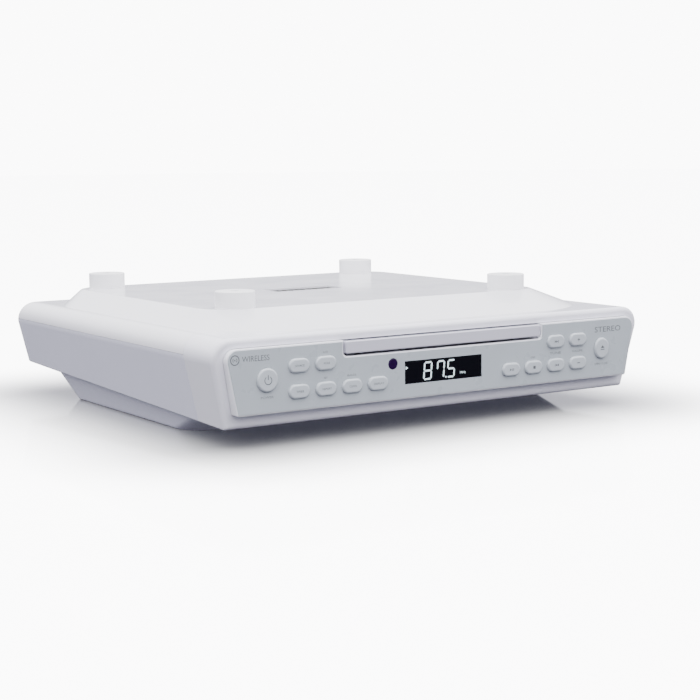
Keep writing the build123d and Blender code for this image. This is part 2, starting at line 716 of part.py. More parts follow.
# ---------------------------------------------------------------- tub
with BuildPart() as bottom_tub:
    add(outer_tub)
    add(inner_tub, mode=Mode.SUBTRACT)
    add(above_underside(0), mode=Mode.SUBTRACT)
    # posts of the main board
    with BuildSketch(Plane.XY.offset(WALL - 0.5)):
        with Locations(*BOARD_POSTS):
            Circle(BOARD_POST_RADIUS)
    extrude(amount=MAIN_BOARD_Z - WALL + 0.5)
    # grille slots under the speakers
    with BuildSketch(Plane.XY.offset(-1)):
        for side in (-1, 1):
            for row in range(-GRILLE_ROWS, GRILLE_ROWS + 1):
                chord = 2 * math.sqrt(CONE_RADIUS ** 2 - (row * GRILLE_PITCH) ** 2)
                with Locations((side * SPEAKER_X, SPEAKER_Y + row * GRILLE_PITCH)):
                    SlotOverall(chord, GRILLE_SLOT)
    extrude(amount=WALL + 2, mode=Mode.SUBTRACT)
    # countersunk seats of the drive screws
    with BuildSketch(Plane.XY.offset(-1)):
        with Locations(*DRIVE_SCREWS):
            Circle(HEAD_RADIUS + HEAD_CLEARANCE)
    extrude(amount=2.4, mode=Mode.SUBTRACT)
    with BuildSketch(Plane.XY.offset(-1)):
        with Locations(*DRIVE_SCREWS):
            Circle(SCREW_RADIUS + GAP)
    extrude(amount=WALL + 2, mode=Mode.SUBTRACT)
bottom_tub.part.label = "bottom_tub"
export_step(bottom_tub.part, "parts/bottom_tub.step")

# ---------------------------------------------------------------- front frame
with BuildPart() as front_frame:
    add(outer_casing)
    add(inner_casing, mode=Mode.SUBTRACT)
    split(bisect_by=front_plane(FRAME_REAR_Y - GAP / 2), keep=Keep.TOP)
    # the top cover's deck nests in this cut-out
    add(deck_base(-GAP, TOP_Z - 5))
    extrude(amount=10, mode=Mode.SUBTRACT)
    # screw wells
    well_foot_z = underside_z(FRONT_SCREWS[0][1]) + 1
    with BuildSketch(Plane.XY.offset(well_foot_z)):
        with Locations(*FRONT_SCREWS):
            Circle(WELL_RADIUS)
    extrude(amount=WELL_TOP_Z - well_foot_z)
    with BuildSketch(Plane.XY):
        with Locations(*FRONT_SCREWS):
            Circle(HEAD_RADIUS + HEAD_CLEARANCE)
    extrude(amount=WELL_TOP_Z - SEAT_THICKNESS, mode=Mode.SUBTRACT)
    with BuildSketch(Plane.XY):
        with Locations(*FRONT_SCREWS):
            Circle(SCREW_RADIUS + GAP)
    extrude(amount=WELL_TOP_Z + 1, mode=Mode.SUBTRACT)
    # opening for the control panel
    with BuildSketch(front_plane(PANEL_BACK_Y + 1)):
        panel_outline(GAP)
    extrude(amount=20, mode=Mode.SUBTRACT)
front_frame.part.label = "front_frame"
export_step(front_frame.part, "parts/front_frame.step")

# ---------------------------------------------------------------- mounting spacers
with BuildPart() as mounting_spacers:
    with BuildSketch(Plane.XY.offset(DECK_Z)):
        with Locations(*SPACER_SPOTS):
            Circle(SPACER_RADIUS)
    extrude(amount=SPACER_HEIGHT)
    fillet(mounting_spacers.edges().group_by(Axis.Z)[-1], SPACER_EDGE_RADIUS)
    with BuildSketch(Plane.XY.offset(DECK_Z - 1)):
        with Locations(*SPACER_SPOTS):
            Circle(SPACER_BORE)
    extrude(amount=SPACER_HEIGHT + 2, mode=Mode.SUBTRACT)
mounting_spacers.part.label = "mounting_spacers"
export_step(mounting_spacers.part, "parts/mounting_spacers.step")

# ---------------------------------------------------------------- threaded inserts
with BuildPart() as threaded_inserts:
    with BuildSketch(Plane.XY.offset(DECK_Z - INSERT_LENGTH)):
        with Locations(*SPACER_SPOTS):
            Circle(INSERT_RADIUS)
            Circle(INSERT_BORE, mode=Mode.SUBTRACT)
    extrude(amount=INSERT_LENGTH)
threaded_inserts.part.label = "threaded_inserts"
export_step(threaded_inserts.part, "parts/threaded_inserts.step")

# ---------------------------------------------------------------- screws
with BuildPart() as case_screws:
    head_z = WELL_TOP_Z - SEAT_THICKNESS - HEAD_HEIGHT
    with BuildSketch(Plane.XY.offset(head_z)):
        with Locations(*COVER_SCREWS):
            Circle(HEAD_RADIUS)
    extrude(amount=HEAD_HEIGHT)
    with BuildSketch(Plane.XY.offset(head_z + HEAD_HEIGHT)):
        with Locations(*COVER_SCREWS):
            Circle(SCREW_RADIUS)
    extrude(amount=SCREW_LENGTH)
    drive_head_z, drive_head_height = DRIVE_HEAD
    with BuildSketch(Plane.XY.offset(drive_head_z)):
        with Locations(*DRIVE_SCREWS):
            Circle(HEAD_RADIUS)
    extrude(amount=drive_head_height)
    with BuildSketch(Plane.XY.offset(drive_head_z + drive_head_height)):
        with Locations(*DRIVE_SCREWS):
            Circle(SCREW_RADIUS)
    extrude(amount=DRIVE_SCREW_LENGTH)
    # cross recesses in the heads
    with BuildSketch(Plane.XY.offset(head_z)):
        with Locations(*COVER_SCREWS):
            Rectangle(CROSS_LENGTH, CROSS_WIDTH)
            Rectangle(CROSS_WIDTH, CROSS_LENGTH)
    extrude(amount=CROSS_DEPTH, mode=Mode.SUBTRACT)
    with BuildSketch(Plane.XY.offset(drive_head_z)):
        with Locations(*DRIVE_SCREWS):
            Rectangle(CROSS_LENGTH, CROSS_WIDTH)
            Rectangle(CROSS_WIDTH, CROSS_LENGTH)
    extrude(amount=CROSS_DEPTH - drive_head_z, mode=Mode.SUBTRACT)
case_screws.part.label = "case_screws"
export_step(case_screws.part, "parts/case_screws.step")


# ================================================================ front panel
# ---------------------------------------------------------------- control panel
with BuildPart() as control_panel:
    with BuildSketch(front_plane(PANEL_BACK_Y)):
        panel_outline(0)
        drawer_notch(0)
    extrude(amount=PANEL_BACK_Y - PANEL_FACE_Y - OVERLAY_THICKNESS)
    fillet(control_panel.faces().sort_by(Axis.Y)[0].edges(), PANEL_EDGE_RADIUS)
    # pocket for the board behind the plate
    with BuildSketch(front_plane(PANEL_BACK_Y + 1)):
        panel_outline(-PANEL_RIM)
        drawer_notch(PANEL_RIM)
    extrude(amount=PANEL_BACK_Y + 1 - PANEL_FACE_Y - OVERLAY_THICKNESS - PANEL_PLATE, mode=Mode.SUBTRACT)
    # windows and key holes
    with BuildSketch(front_plane(PANEL_BACK_Y)):
        with Locations((DISPLAY_X, DISPLAY_Z)):
            Rectangle(DISPLAY_WIDTH - 2 * LENS_LEDGE, DISPLAY_HEIGHT - 2 * LENS_LEDGE)
        with Locations((IR_X, IR_Z)):
            Circle(IR_RADIUS + GAP / 2)
        for key_spec in KEYS.values():
            key_outline(key_spec, KEY_CLEARANCE)
    extrude(amount=20, mode=Mode.SUBTRACT)
    # seat of the display lens
    with BuildSketch(front_plane(PANEL_FACE_Y + LENS_SEAT)):
        with Locations((DISPLAY_X, DISPLAY_Z)):
            Rectangle(DISPLAY_WIDTH + GAP, DISPLAY_HEIGHT + GAP)
    extrude(amount=5, mode=Mode.SUBTRACT)
control_panel.part.label = "control_panel"
export_step(control_panel.part, "parts/control_panel.step")

# ---------------------------------------------------------------- printed overlay
with BuildPart() as panel_overlay:
    with BuildSketch(front_plane(PANEL_FACE_Y + OVERLAY_THICKNESS)):
        panel_outline(-OVERLAY_MARGIN)
        drawer_notch(OVERLAY_MARGIN)
        with Locations((DISPLAY_X, DISPLAY_Z)):
            Rectangle(DISPLAY_WIDTH + GAP, DISPLAY_HEIGHT + GAP, mode=Mode.SUBTRACT)
        with Locations((IR_X, IR_Z)):
            Circle(IR_RADIUS + GAP / 2, mode=Mode.SUBTRACT)
        for key_spec in KEYS.values():
            key_outline(key_spec, KEY_CLEARANCE, mode=Mode.SUBTRACT)
    extrude(amount=OVERLAY_THICKNESS)
panel_overlay.part.label = "panel_overlay"
export_step(panel_overlay.part, "parts/panel_overlay.step")

# ---------------------------------------------------------------- display lens and infra-red window
with BuildPart() as display_lens:
    with BuildSketch(front_plane(PANEL_FACE_Y + LENS_SEAT)):
        with Locations((DISPLAY_X, DISPLAY_Z)):
            Rectangle(DISPLAY_WIDTH, DISPLAY_HEIGHT)
    extrude(amount=LENS_THICKNESS)
    fillet(display_lens.faces().sort_by(Axis.Y)[0].edges(), 0.3)
display_lens.part.label = "display_lens"
export_step(display_lens.part, "parts/display_lens.step")

with BuildPart() as ir_window:
    with BuildSketch(front_plane(IR_FLANGE_Y)):
        with Locations((IR_X, IR_Z)):
            Circle(IR_RADIUS + IR_FLANGE[0])
    extrude(amount=IR_FLANGE[1])
    with BuildSketch(front_plane(IR_BACK_Y)):
        with Locations((IR_X, IR_Z)):
            Circle(IR_RADIUS)
    extrude(amount=IR_LENGTH)
    fillet(ir_window.faces().sort_by(Axis.Y)[0].edges(), 0.6)
ir_window.part.label = "ir_window"
export_step(ir_window.part, "parts/ir_window.step")

# ---------------------------------------------------------------- keys
KEY_BACK_Y = PANEL_FACE_Y + OVERLAY_THICKNESS + PANEL_PLATE + KEY_GAP
for key_name, key_spec in KEYS.items():
    with BuildPart() as key:
        with BuildSketch(front_plane(KEY_BACK_Y + KEY_FLANGE)):
            key_outline(key_spec, KEY_FLANGE_RIM)
        extrude(amount=KEY_FLANGE)
        with BuildSketch(front_plane(KEY_BACK_Y)):
            key_outline(key_spec, 0)
        extrude(amount=KEY_BACK_Y - PANEL_FACE_Y + KEY_PROUD)
        fillet(key.faces().sort_by(Axis.Y)[0].edges(), KEY_EDGE_RADIUS)
    key.part.label = key_name
    export_step(key.part, f"parts/{key_name}.step")

# ---------------------------------------------------------------- key board, its switches and the display
SWITCH_FACE_Y = BOARD_FACE_Y - SWITCH_DEPTH
with BuildPart() as front_board:
    with BuildSketch(front_plane(BOARD_FACE_Y + BOARD_THICKNESS)):
        with Locations((0, FRONT_BOARD_Z)):
            RectangleRounded(*FRONT_BOARD, BOARD_CORNER)
        with Locations((0, FRONT_BOARD_NOTCH_Z)):
            RectangleRounded(*FRONT_BOARD_NOTCH, BOARD_CORNER, mode=Mode.SUBTRACT)
        with Locations(*FRONT_BOARD_HOLES):
            Circle(BOARD_HOLE_RADIUS, mode=Mode.SUBTRACT)
    extrude(amount=BOARD_THICKNESS)
front_board.part.label = "front_board"
export_step(front_board.part, "parts/front_board.step")

with BuildPart() as tact_switches:
    with BuildSketch(front_plane(BOARD_FACE_Y)):
        with Locations(*[(spec[0], spec[1]) for spec in KEYS.values()]):
            RectangleRounded(SWITCH_SIZE, SWITCH_SIZE, 0.5)
    extrude(amount=SWITCH_DEPTH)
    with BuildSketch(front_plane(SWITCH_FACE_Y)):
        with Locations(*[(spec[0], spec[1]) for spec in KEYS.values()]):
            Circle(PLUNGER_RADIUS)
    extrude(amount=SWITCH_FACE_Y - KEY_BACK_Y - KEY_FLANGE - KEY_TRAVEL - KEY_GAP)
tact_switches.part.label = "tact_switches"
export_step(tact_switches.part, "parts/tact_switches.step")

with BuildPart() as display_module:
    with BuildSketch(front_plane(BOARD_FACE_Y)):
        with Locations((DISPLAY_X, DISPLAY_Z)):
            Rectangle(*DISPLAY_CAN)
    extrude(amount=BOARD_FACE_Y - KEY_BACK_Y - 0.2)
    fillet(display_module.edges().filter_by(Axis.Y), 0.8)
    # bezel step around the glass
    with BuildSketch(front_plane(KEY_BACK_Y + 1.0)):
        with Locations((DISPLAY_X, DISPLAY_Z)):
            Rectangle(*DISPLAY_GLASS)
    extrude(amount=3, mode=Mode.SUBTRACT)
display_module.part.label = "display_module"
export_step(display_module.part, "parts/display_module.step")


# ================================================================ speakers
for side_name, side in (("left", -1), ("right", 1)):
    speaker_x = side * SPEAKER_X
    with BuildPart() as speaker_frame:
        with BuildSketch(Plane.XY.offset(WALL)):
            with Locations((speaker_x, SPEAKER_Y)):
                Circle(SPEAKER_RADIUS)
                Circle(CONE_RADIUS + CONE_GAP, mode=Mode.SUBTRACT)
        extrude(amount=SPEAKER_FLANGE)
        # basket and its roof
        basket_z = WALL + SPEAKER_FLANGE
        with BuildSketch(Plane.XY.offset(basket_z)):
            with Locations((speaker_x, SPEAKER_Y)):
                Circle(BASKET_RADIUS)
                Circle(CONE_RADIUS + CONE_GAP, mode=Mode.SUBTRACT)
        extrude(amount=BASKET_HEIGHT)
        roof_z = basket_z + BASKET_HEIGHT
        with BuildSketch(Plane.XY.offset(roof_z)):
            with Locations((speaker_x, SPEAKER_Y)):
                Circle(BASKET_RADIUS)
                Circle(MAGNET_BORE, mode=Mode.SUBTRACT)
        extrude(amount=BASKET_ROOF)
        # magnet and back plate
        magnet_z = roof_z + BASKET_ROOF
        with BuildSketch(Plane.XY.offset(magnet_z)):
            with Locations((speaker_x, SPEAKER_Y)):
                Circle(MAGNET_RADIUS)
                Circle(MAGNET_BORE, mode=Mode.SUBTRACT)
        extrude(amount=MAGNET_HEIGHT)
        with BuildSketch(Plane.XY.offset(magnet_z + MAGNET_HEIGHT)):
            with Locations((speaker_x, SPEAKER_Y)):
                Circle(BACK_PLATE_RADIUS)
        extrude(amount=BACK_PLATE_THICKNESS)
        # windows in the basket
        window_width, window_height = BASKET_WINDOW
        with BuildSketch(Plane.XY.offset(basket_z + (BASKET_HEIGHT - window_height) / 2)):
            with Locations((speaker_x, SPEAKER_Y)):
                with PolarLocations(0, 4):
                    Rectangle(2 * SPEAKER_RADIUS + 4, window_width)
                Circle(CONE_RADIUS + CONE_GAP / 2, mode=Mode.SUBTRACT)
        extrude(amount=window_height, mode=Mode.SUBTRACT)
    speaker_frame.part.label = f"{side_name}_speaker_frame"
    export_step(speaker_frame.part, f"parts/{side_name}_speaker_frame.step")

    with BuildPart() as speaker_cone:
        cone_plane = Plane(origin=(speaker_x, SPEAKER_Y, WALL), x_dir=(1, 0, 0), z_dir=(0, -1, 0))
        with BuildSketch(cone_plane):
            with BuildLine():
                Polyline(
                    (0, CONE_APEX_Z),
                    (COIL_RADIUS, CONE_APEX_Z + CONE_DISH),
                    (CONE_RADIUS - SURROUND, SURROUND_Z),
                    (CONE_RADIUS, SURROUND_Z),
                    (CONE_RADIUS, SURROUND_Z + PAPER),
                    (CONE_RADIUS - SURROUND + PAPER, SURROUND_Z + PAPER),
                    (COIL_RADIUS + PAPER, CONE_APEX_Z + CONE_DISH + PAPER),
                    (COIL_RADIUS + PAPER, COIL_TOP_Z),
                    (COIL_RADIUS, COIL_TOP_Z),
                    (COIL_RADIUS, CONE_APEX_Z + CONE_DISH + PAPER),
                    (0, CONE_APEX_Z + PAPER),
                    close=True,
                )
            make_face()
        revolve(axis=Axis((speaker_x, SPEAKER_Y, 0), (0, 0, 1)))
    speaker_cone.part.label = f"{side_name}_speaker_cone"
    export_step(speaker_cone.part, f"parts/{side_name}_speaker_cone.step")


# ================================================================ electronics
# ---------------------------------------------------------------- main board and what stands on it
with BuildPart() as main_board:
    with BuildSketch(Plane.XY.offset(MAIN_BOARD_Z)):
        with Locations(MAIN_BOARD[:2]):
            RectangleRounded(MAIN_BOARD[2], MAIN_BOARD[3], BOARD_CORNER)
    extrude(amount=BOARD_THICKNESS)
main_board.part.label = "main_board"
export_step(main_board.part, "parts/main_board.step")

BOARD_TOP_Z = MAIN_BOARD_Z + BOARD_THICKNESS
with BuildPart() as board_components:
    # electrolytic capacitors
    with BuildSketch(Plane.XY.offset(BOARD_TOP_Z)):
        with Locations(*BIG_CAPACITORS):
            Circle(CAPACITOR_RADII[0])
        with Locations(*SMALL_CAPACITORS):
            Circle(CAPACITOR_RADII[1])
    extrude(amount=CAPACITOR_HEIGHT)
    # chips
    with BuildSketch(Plane.XY.offset(BOARD_TOP_Z)):
        for chip_x, chip_y, chip_width, chip_length in CHIPS:
            with Locations((chip_x, chip_y)):
                Rectangle(chip_width, chip_length)
    extrude(amount=CHIP_HEIGHT)
    # connector headers
    with BuildSketch(Plane.XY.offset(BOARD_TOP_Z)):
        with Locations(*HEADERS):
            Rectangle(*HEADER_SIZE[:2])
    extrude(amount=HEADER_SIZE[2])
board_components.part.label = "board_components"
export_step(board_components.part, "parts/board_components.step")

with BuildPart() as heat_sink:
    plate_y, plate_width, plate_thickness = HEAT_SINK_PLATE
    fin_y, fin_thickness, fin_length = HEAT_SINK_FINS
    with BuildSketch(Plane.XY.offset(BOARD_TOP_Z)):
        with Locations((HEAT_SINK_X, plate_y)):
            Rectangle(plate_width, plate_thickness)
        with Locations((HEAT_SINK_X, fin_y)):
            with GridLocations(HEAT_SINK_FIN_PITCH, 0, HEAT_SINK_FIN_COUNT, 1):
                Rectangle(fin_thickness, fin_length)
    extrude(amount=HEAT_SINK_HEIGHT)
heat_sink.part.label = "heat_sink"
export_step(heat_sink.part, "parts/heat_sink.step")

with BuildPart() as wireless_module:
    with BuildSketch(Plane.XY.offset(BOARD_TOP_Z)):
        with Locations(WIRELESS_BOARD[:2]):
            Rectangle(*WIRELESS_BOARD[2:4])
    extrude(amount=WIRELESS_BOARD[4])
    with BuildSketch(Plane.XY.offset(BOARD_TOP_Z + WIRELESS_BOARD[4])):
        with Locations(WIRELESS_SHIELD[:2]):
            RectangleRounded(*WIRELESS_SHIELD[2:4], 1)
    extrude(amount=WIRELESS_SHIELD[4])
wireless_module.part.label = "wireless_module"
export_step(wireless_module.part, "parts/wireless_module.step")

# ---------------------------------------------------------------- mains transformer
with BuildPart() as transformer:
    with BuildSketch(Plane.XY.offset(WALL)):
        with Locations(TRANSFORMER_AT):
            Rectangle(*TRANSFORMER_STRAP[:2])
            with Locations((-TRANSFORMER_HOLE_X, 0), (TRANSFORMER_HOLE_X, 0)):
                Circle(BOARD_HOLE_RADIUS, mode=Mode.SUBTRACT)
    extrude(amount=TRANSFORMER_STRAP[2])
    with BuildSketch(Plane.XY.offset(WALL + TRANSFORMER_STRAP[2])):
        with Locations(TRANSFORMER_AT):
            Rectangle(*TRANSFORMER_CORE[:2])
    extrude(amount=TRANSFORMER_CORE[2])
    with BuildSketch(Plane.XY.offset(WALL + TRANSFORMER_COIL_LIFT)):
        with Locations(TRANSFORMER_AT):
            RectangleRounded(*TRANSFORMER_COIL[:2], 4)
    extrude(amount=TRANSFORMER_COIL[2])
transformer.part.label = "transformer"
export_step(transformer.part, "parts/transformer.step")

# ---------------------------------------------------------------- sockets and glands in the rear wall
PORT_Y = rear_y(PORT_Z)
with BuildPart() as aux_jack:
    with BuildSketch(front_plane(PORT_Y - WALL - PORT_GAP)):
        with Locations((AUX_X, PORT_Z)):
            RectangleRounded(*AUX_BODY[:2], 0.6)
    extrude(amount=AUX_BODY[2])
    with BuildSketch(front_plane(PORT_Y)):
        with Locations((AUX_X, PORT_Z)):
            Circle(AUX_BARREL_RADIUS)
    extrude(amount=WALL + PORT_GAP)
    with BuildSketch(front_plane(PORT_Y)):
        with Locations((AUX_X, PORT_Z)):
            Circle(AUX_BORE)
    extrude(amount=AUX_DEPTH, mode=Mode.SUBTRACT)
aux_jack.part.label = "aux_jack"
export_step(aux_jack.part, "parts/aux_jack.step")

for gland_name, gland_x, gland_radius, gland_bore in (
    ("mains_gland", MAINS_X, MAINS_GLAND_RADIUS, MAINS_GLAND_BORE),
    ("antenna_gland", ANTENNA_X, ANTENNA_GLAND_RADIUS, ANTENNA_GLAND_BORE),
):
    with BuildPart() as gland:
        with BuildSketch(front_plane(PORT_Y - WALL - PORT_GAP)):
            with Locations((gland_x, PORT_Z)):
                Circle(gland_radius + GLAND_FLANGE[0])
        extrude(amount=GLAND_FLANGE[1])
        with BuildSketch(front_plane(PORT_Y)):
            with Locations((gland_x, PORT_Z)):
                Circle(gland_radius)
        extrude(amount=WALL + PORT_GAP)
        with BuildSketch(front_plane(PORT_Y)):
            with Locations((gland_x, PORT_Z)):
                Circle(gland_bore)
        extrude(amount=GLAND_DEPTH, mode=Mode.SUBTRACT)
    gland.part.label = gland_name
    export_step(gland.part, f"parts/{gland_name}.step")


# ================================================================ disc drive
# ---------------------------------------------------------------- drawer
with BuildPart() as drawer_front:
    with BuildSketch(front_plane(TRAY_FRONT_Y)):
        with Locations((0, (BAR_BOTTOM_Z + BAR_TOP_Z) / 2)):
            RectangleRounded(2 * BAR_HALF, BAR_TOP_Z - BAR_BOTTOM_Z, 1.2)
    extrude(amount=BAR_THICKNESS)
    fillet(drawer_front.faces().sort_by(Axis.Y)[0].edges(), 0.8)
drawer_front.part.label = "drawer_front"
export_step(drawer_front.part, "parts/drawer_front.step")

RACK_X = TRAY_GEAR_X - MODULE * PINION_TEETH / 2
RACK_START_Y = -136.0
RACK_LENGTH = 146.0
with BuildPart() as disc_tray:
    with BuildSketch(Plane.XY.offset(TRAY_BOTTOM_Z)):
        with Locations((0, (TRAY_FRONT_Y + TRAY_REAR_Y) / 2)):
            Rectangle(2 * TRAY_HALF, TRAY_REAR_Y - TRAY_FRONT_Y)
    extrude(amount=TRAY_TOP_Z - TRAY_BOTTOM_Z)
    fillet(disc_tray.edges().filter_by(Axis.Z).group_by(Axis.Y)[-1], 4.0)
    # seats for the two disc sizes
    with BuildSketch(Plane.XY.offset(DISC_FLOOR_Z)):
        with Locations((0, DISC_Y)):
            Circle(DISC_RECESS_RADIUS)
    extrude(amount=10, mode=Mode.SUBTRACT)
    with BuildSketch(Plane.XY.offset(SMALL_FLOOR_Z)):
        with Locations((0, DISC_Y)):
            Circle(SMALL_RECESS_RADIUS)
    extrude(amount=10, mode=Mode.SUBTRACT)
    # slot for the turntable and the pickup, open at the rear
    with BuildSketch(Plane.XY.offset(TRAY_BOTTOM_Z - 1)):
        with Locations((0, DISC_Y)):
            Circle(SLOT_HALF)
        with Locations((0, (DISC_Y + TRAY_REAR_Y + 5) / 2)):
            Rectangle(2 * SLOT_HALF, TRAY_REAR_Y + 5 - DISC_Y)
    extrude(amount=12, mode=Mode.SUBTRACT)
    # rack that the pinion drives
    rack_plane = Plane(origin=(RACK_X, RACK_START_Y, RACK_TEETH_Z), z_dir=(0, 0, 1))
    with BuildSketch(rack_plane):
        rack_outline(RACK_LENGTH, (GEAR_Y - RACK_START_Y) % (math.pi * MODULE), RACK_BACK)
    extrude(amount=TRAY_BOTTOM_Z - RACK_TEETH_Z)
disc_tray.part.label = "disc_tray"
export_step(disc_tray.part, "parts/disc_tray.step")

# ---------------------------------------------------------------- drive chassis
with BuildPart() as loader_frame:
    # floor with an opening for the traverse
    with BuildSketch(Plane.XY.offset(DRIVE_FLOOR_Z)):
        with Locations((0, (DRIVE_FRONT_Y + DRIVE_REAR_Y) / 2)):
            Rectangle(2 * RAIL_INNER + 2, DRIVE_REAR_Y - DRIVE_FRONT_Y)
        with Locations((WINDOW_X, WINDOW_Y)):
            Rectangle(*WINDOW_SIZE, mode=Mode.SUBTRACT)
        with Locations((MOTOR_X, GEAR_Y)):
            Circle(MOTOR_SHAFT_RADIUS + 0.5, mode=Mode.SUBTRACT)
    extrude(amount=DRIVE_FLOOR_TOP - DRIVE_FLOOR_Z)
    # channels that the tray runs in
    with BuildSketch(front_plane(DRIVE_REAR_Y)):
        with BuildLine():
            Polyline(
                (RAIL_INNER, RAIL_BOTTOM_Z),
                (RAIL_OUTER, RAIL_BOTTOM_Z),
                (RAIL_OUTER, RAIL_TOP_Z),
                (RAIL_INNER, RAIL_TOP_Z),
                (RAIL_INNER, TRAY_TOP_Z + RUN_GAP),
                (TRAY_HALF + RUN_GAP, TRAY_TOP_Z + RUN_GAP),
                (TRAY_HALF + RUN_GAP, TRAY_BOTTOM_Z - RUN_GAP),
                (RAIL_INNER, TRAY_BOTTOM_Z - RUN_GAP),
                close=True,
            )
        make_face()
        mirror(about=Plane.YZ)
    extrude(amount=DRIVE_REAR_Y - DRIVE_FRONT_Y)
    # legs down to the tub
    with BuildSketch(Plane.XY.offset(WALL)):
        with Locations(*DRIVE_SCREWS):
            Circle(LEG_RADIUS)
    extrude(amount=DRIVE_FLOOR_Z - WALL)
    with BuildSketch(Plane.XY.offset(WALL)):
        with Locations(*DRIVE_SCREWS):
            Circle(SCREW_RADIUS + SHAFT_GAP)
    extrude(amount=10, mode=Mode.SUBTRACT)
    # shafts of the gears
    with BuildSketch(Plane.XY.offset(DRIVE_FLOOR_TOP)):
        with Locations((TRAY_GEAR_X, GEAR_Y), (PULLEY_GEAR_X, GEAR_Y)):
            Circle(SHAFT_RADIUS)
    extrude(amount=GEAR_POST_LENGTH)
    # guide ribs of the cam slider, the rear ones parted for the traverse's pin
    with BuildSketch(Plane.XY.offset(DRIVE_FLOOR_Z - CAM_RIB_DEPTH)):
        with Locations(CAM_FRONT_RIB[:2]):
            Rectangle(CAM_FRONT_RIB[2], CAM_RIB_THICKNESS)
        with Locations(*CAM_REAR_RIBS):
            Rectangle(CAM_REAR_RIB_LENGTH, CAM_RIB_THICKNESS)
    extrude(amount=CAM_RIB_DEPTH)
    # ears of the traverse hinge
    with BuildSketch(Plane.XY.offset(DRIVE_FLOOR_Z - EAR_SIZE[2])):
        with Locations(*EAR_SPOTS):
            Rectangle(*EAR_SIZE[:2])
    extrude(amount=EAR_SIZE[2])
    with BuildSketch(Plane.YZ.offset(-50)):
        with Locations((HINGE_Y, HINGE_Z)):
            Circle(HINGE_RADIUS + SHAFT_GAP)
    extrude(amount=100, mode=Mode.SUBTRACT)
loader_frame.part.label = "loader_frame"
export_step(loader_frame.part, "parts/loader_frame.step")

# ---------------------------------------------------------------- loading gear train
with BuildPart() as tray_gear:
    wheel_plane = Plane(origin=(TRAY_GEAR_X, GEAR_Y, DRIVE_FLOOR_TOP + GEAR_LIFT), z_dir=(0, 0, 1))
    with BuildSketch(wheel_plane):
        gear_outline(WHEEL_TEETH)
    extrude(amount=WHEEL_FACE)
    with BuildSketch(wheel_plane.offset(WHEEL_FACE)):
        gear_outline(PINION_TEETH, 180 / PINION_TEETH)
    extrude(amount=PINION_FACE)
    with BuildSketch(wheel_plane):
        Circle(SHAFT_RADIUS + SHAFT_GAP)
    extrude(amount=6, mode=Mode.SUBTRACT)
tray_gear.part.label = "tray_gear"
export_step(tray_gear.part, "parts/tray_gear.step")

with BuildPart() as pulley_gear:
    pulley_plane = Plane(origin=(PULLEY_GEAR_X, GEAR_Y, DRIVE_FLOOR_TOP + GEAR_LIFT), z_dir=(0, 0, 1))
    with BuildSketch(pulley_plane):
        gear_outline(SMALL_TEETH, 180 / SMALL_TEETH)
    extrude(amount=SMALL_FACE)
    with BuildSketch(pulley_plane.offset(SMALL_FACE)):
        Circle(PULLEY_RADIUS + PULLEY_RIM)
    extrude(amount=PULLEY_FACE)
    groove_z = PULLEY_Z - PULLEY_GROOVE / 2
    with BuildSketch(Plane(origin=(PULLEY_GEAR_X, GEAR_Y, groove_z), z_dir=(0, 0, 1))):
        Circle(PULLEY_RADIUS + 2)
        Circle(PULLEY_RADIUS, mode=Mode.SUBTRACT)
    extrude(amount=PULLEY_GROOVE, mode=Mode.SUBTRACT)
    with BuildSketch(pulley_plane):
        Circle(SHAFT_RADIUS + SHAFT_GAP)
    extrude(amount=6, mode=Mode.SUBTRACT)
pulley_gear.part.label = "pulley_gear"
export_step(pulley_gear.part, "parts/pulley_gear.step")

with BuildPart() as motor_pulley:
    motor_plane = Plane(origin=(MOTOR_X, GEAR_Y, PULLEY_Z - PULLEY_FACE / 2), z_dir=(0, 0, 1))
    with BuildSketch(motor_plane):
        Circle(MOTOR_PULLEY_RADIUS + MOTOR_PULLEY_RIM)
    extrude(amount=PULLEY_FACE)
    with BuildSketch(motor_plane.offset((PULLEY_FACE - PULLEY_GROOVE) / 2)):
        Circle(MOTOR_PULLEY_RADIUS + 2)
        Circle(MOTOR_PULLEY_RADIUS, mode=Mode.SUBTRACT)
    extrude(amount=PULLEY_GROOVE, mode=Mode.SUBTRACT)
    with BuildSketch(motor_plane):
        Circle(MOTOR_SHAFT_RADIUS + SHAFT_GAP)
    extrude(amount=PULLEY_FACE, mode=Mode.SUBTRACT)
motor_pulley.part.label = "motor_pulley"
export_step(motor_pulley.part, "parts/motor_pulley.step")


def belt_run(extra):
    """Outline round both pulleys, grown by extra."""
    with BuildSketch(Plane.XY.offset(PULLEY_Z - BELT_HEIGHT / 2), mode=Mode.PRIVATE) as run:
        with Locations((PULLEY_GEAR_X, GEAR_Y)):
            Circle(PULLEY_RADIUS + extra)
        with Locations((MOTOR_X, GEAR_Y)):
            Circle(MOTOR_PULLEY_RADIUS + extra)
        make_hull()
    return run.sketch


with BuildPart() as loading_belt:
    add(belt_run(BELT_THICKNESS))
    extrude(amount=BELT_HEIGHT)
    add(belt_run(SHAFT_GAP))
    extrude(amount=BELT_HEIGHT, mode=Mode.SUBTRACT)
loading_belt.part.label = "loading_belt"
export_step(loading_belt.part, "parts/loading_belt.step")

with BuildPart() as loading_motor:
    with BuildSketch(Plane.XY.offset(DRIVE_FLOOR_Z - LOADING_MOTOR_LENGTH)):
        with Locations((MOTOR_X, GEAR_Y)):
            Circle(LOADING_MOTOR_RADIUS)
    extrude(amount=LOADING_MOTOR_LENGTH)
    fillet(loading_motor.edges().group_by(Axis.Z)[0], 1.0)
    with BuildSketch(Plane.XY.offset(DRIVE_FLOOR_Z)):
        with Locations((MOTOR_X, GEAR_Y)):
            Circle(MOTOR_SHAFT_RADIUS)
    extrude(amount=PULLEY_Z + PULLEY_FACE / 2 - DRIVE_FLOOR_Z)
loading_motor.part.label = "loading_motor"
export_step(loading_motor.part, "parts/loading_motor.step")

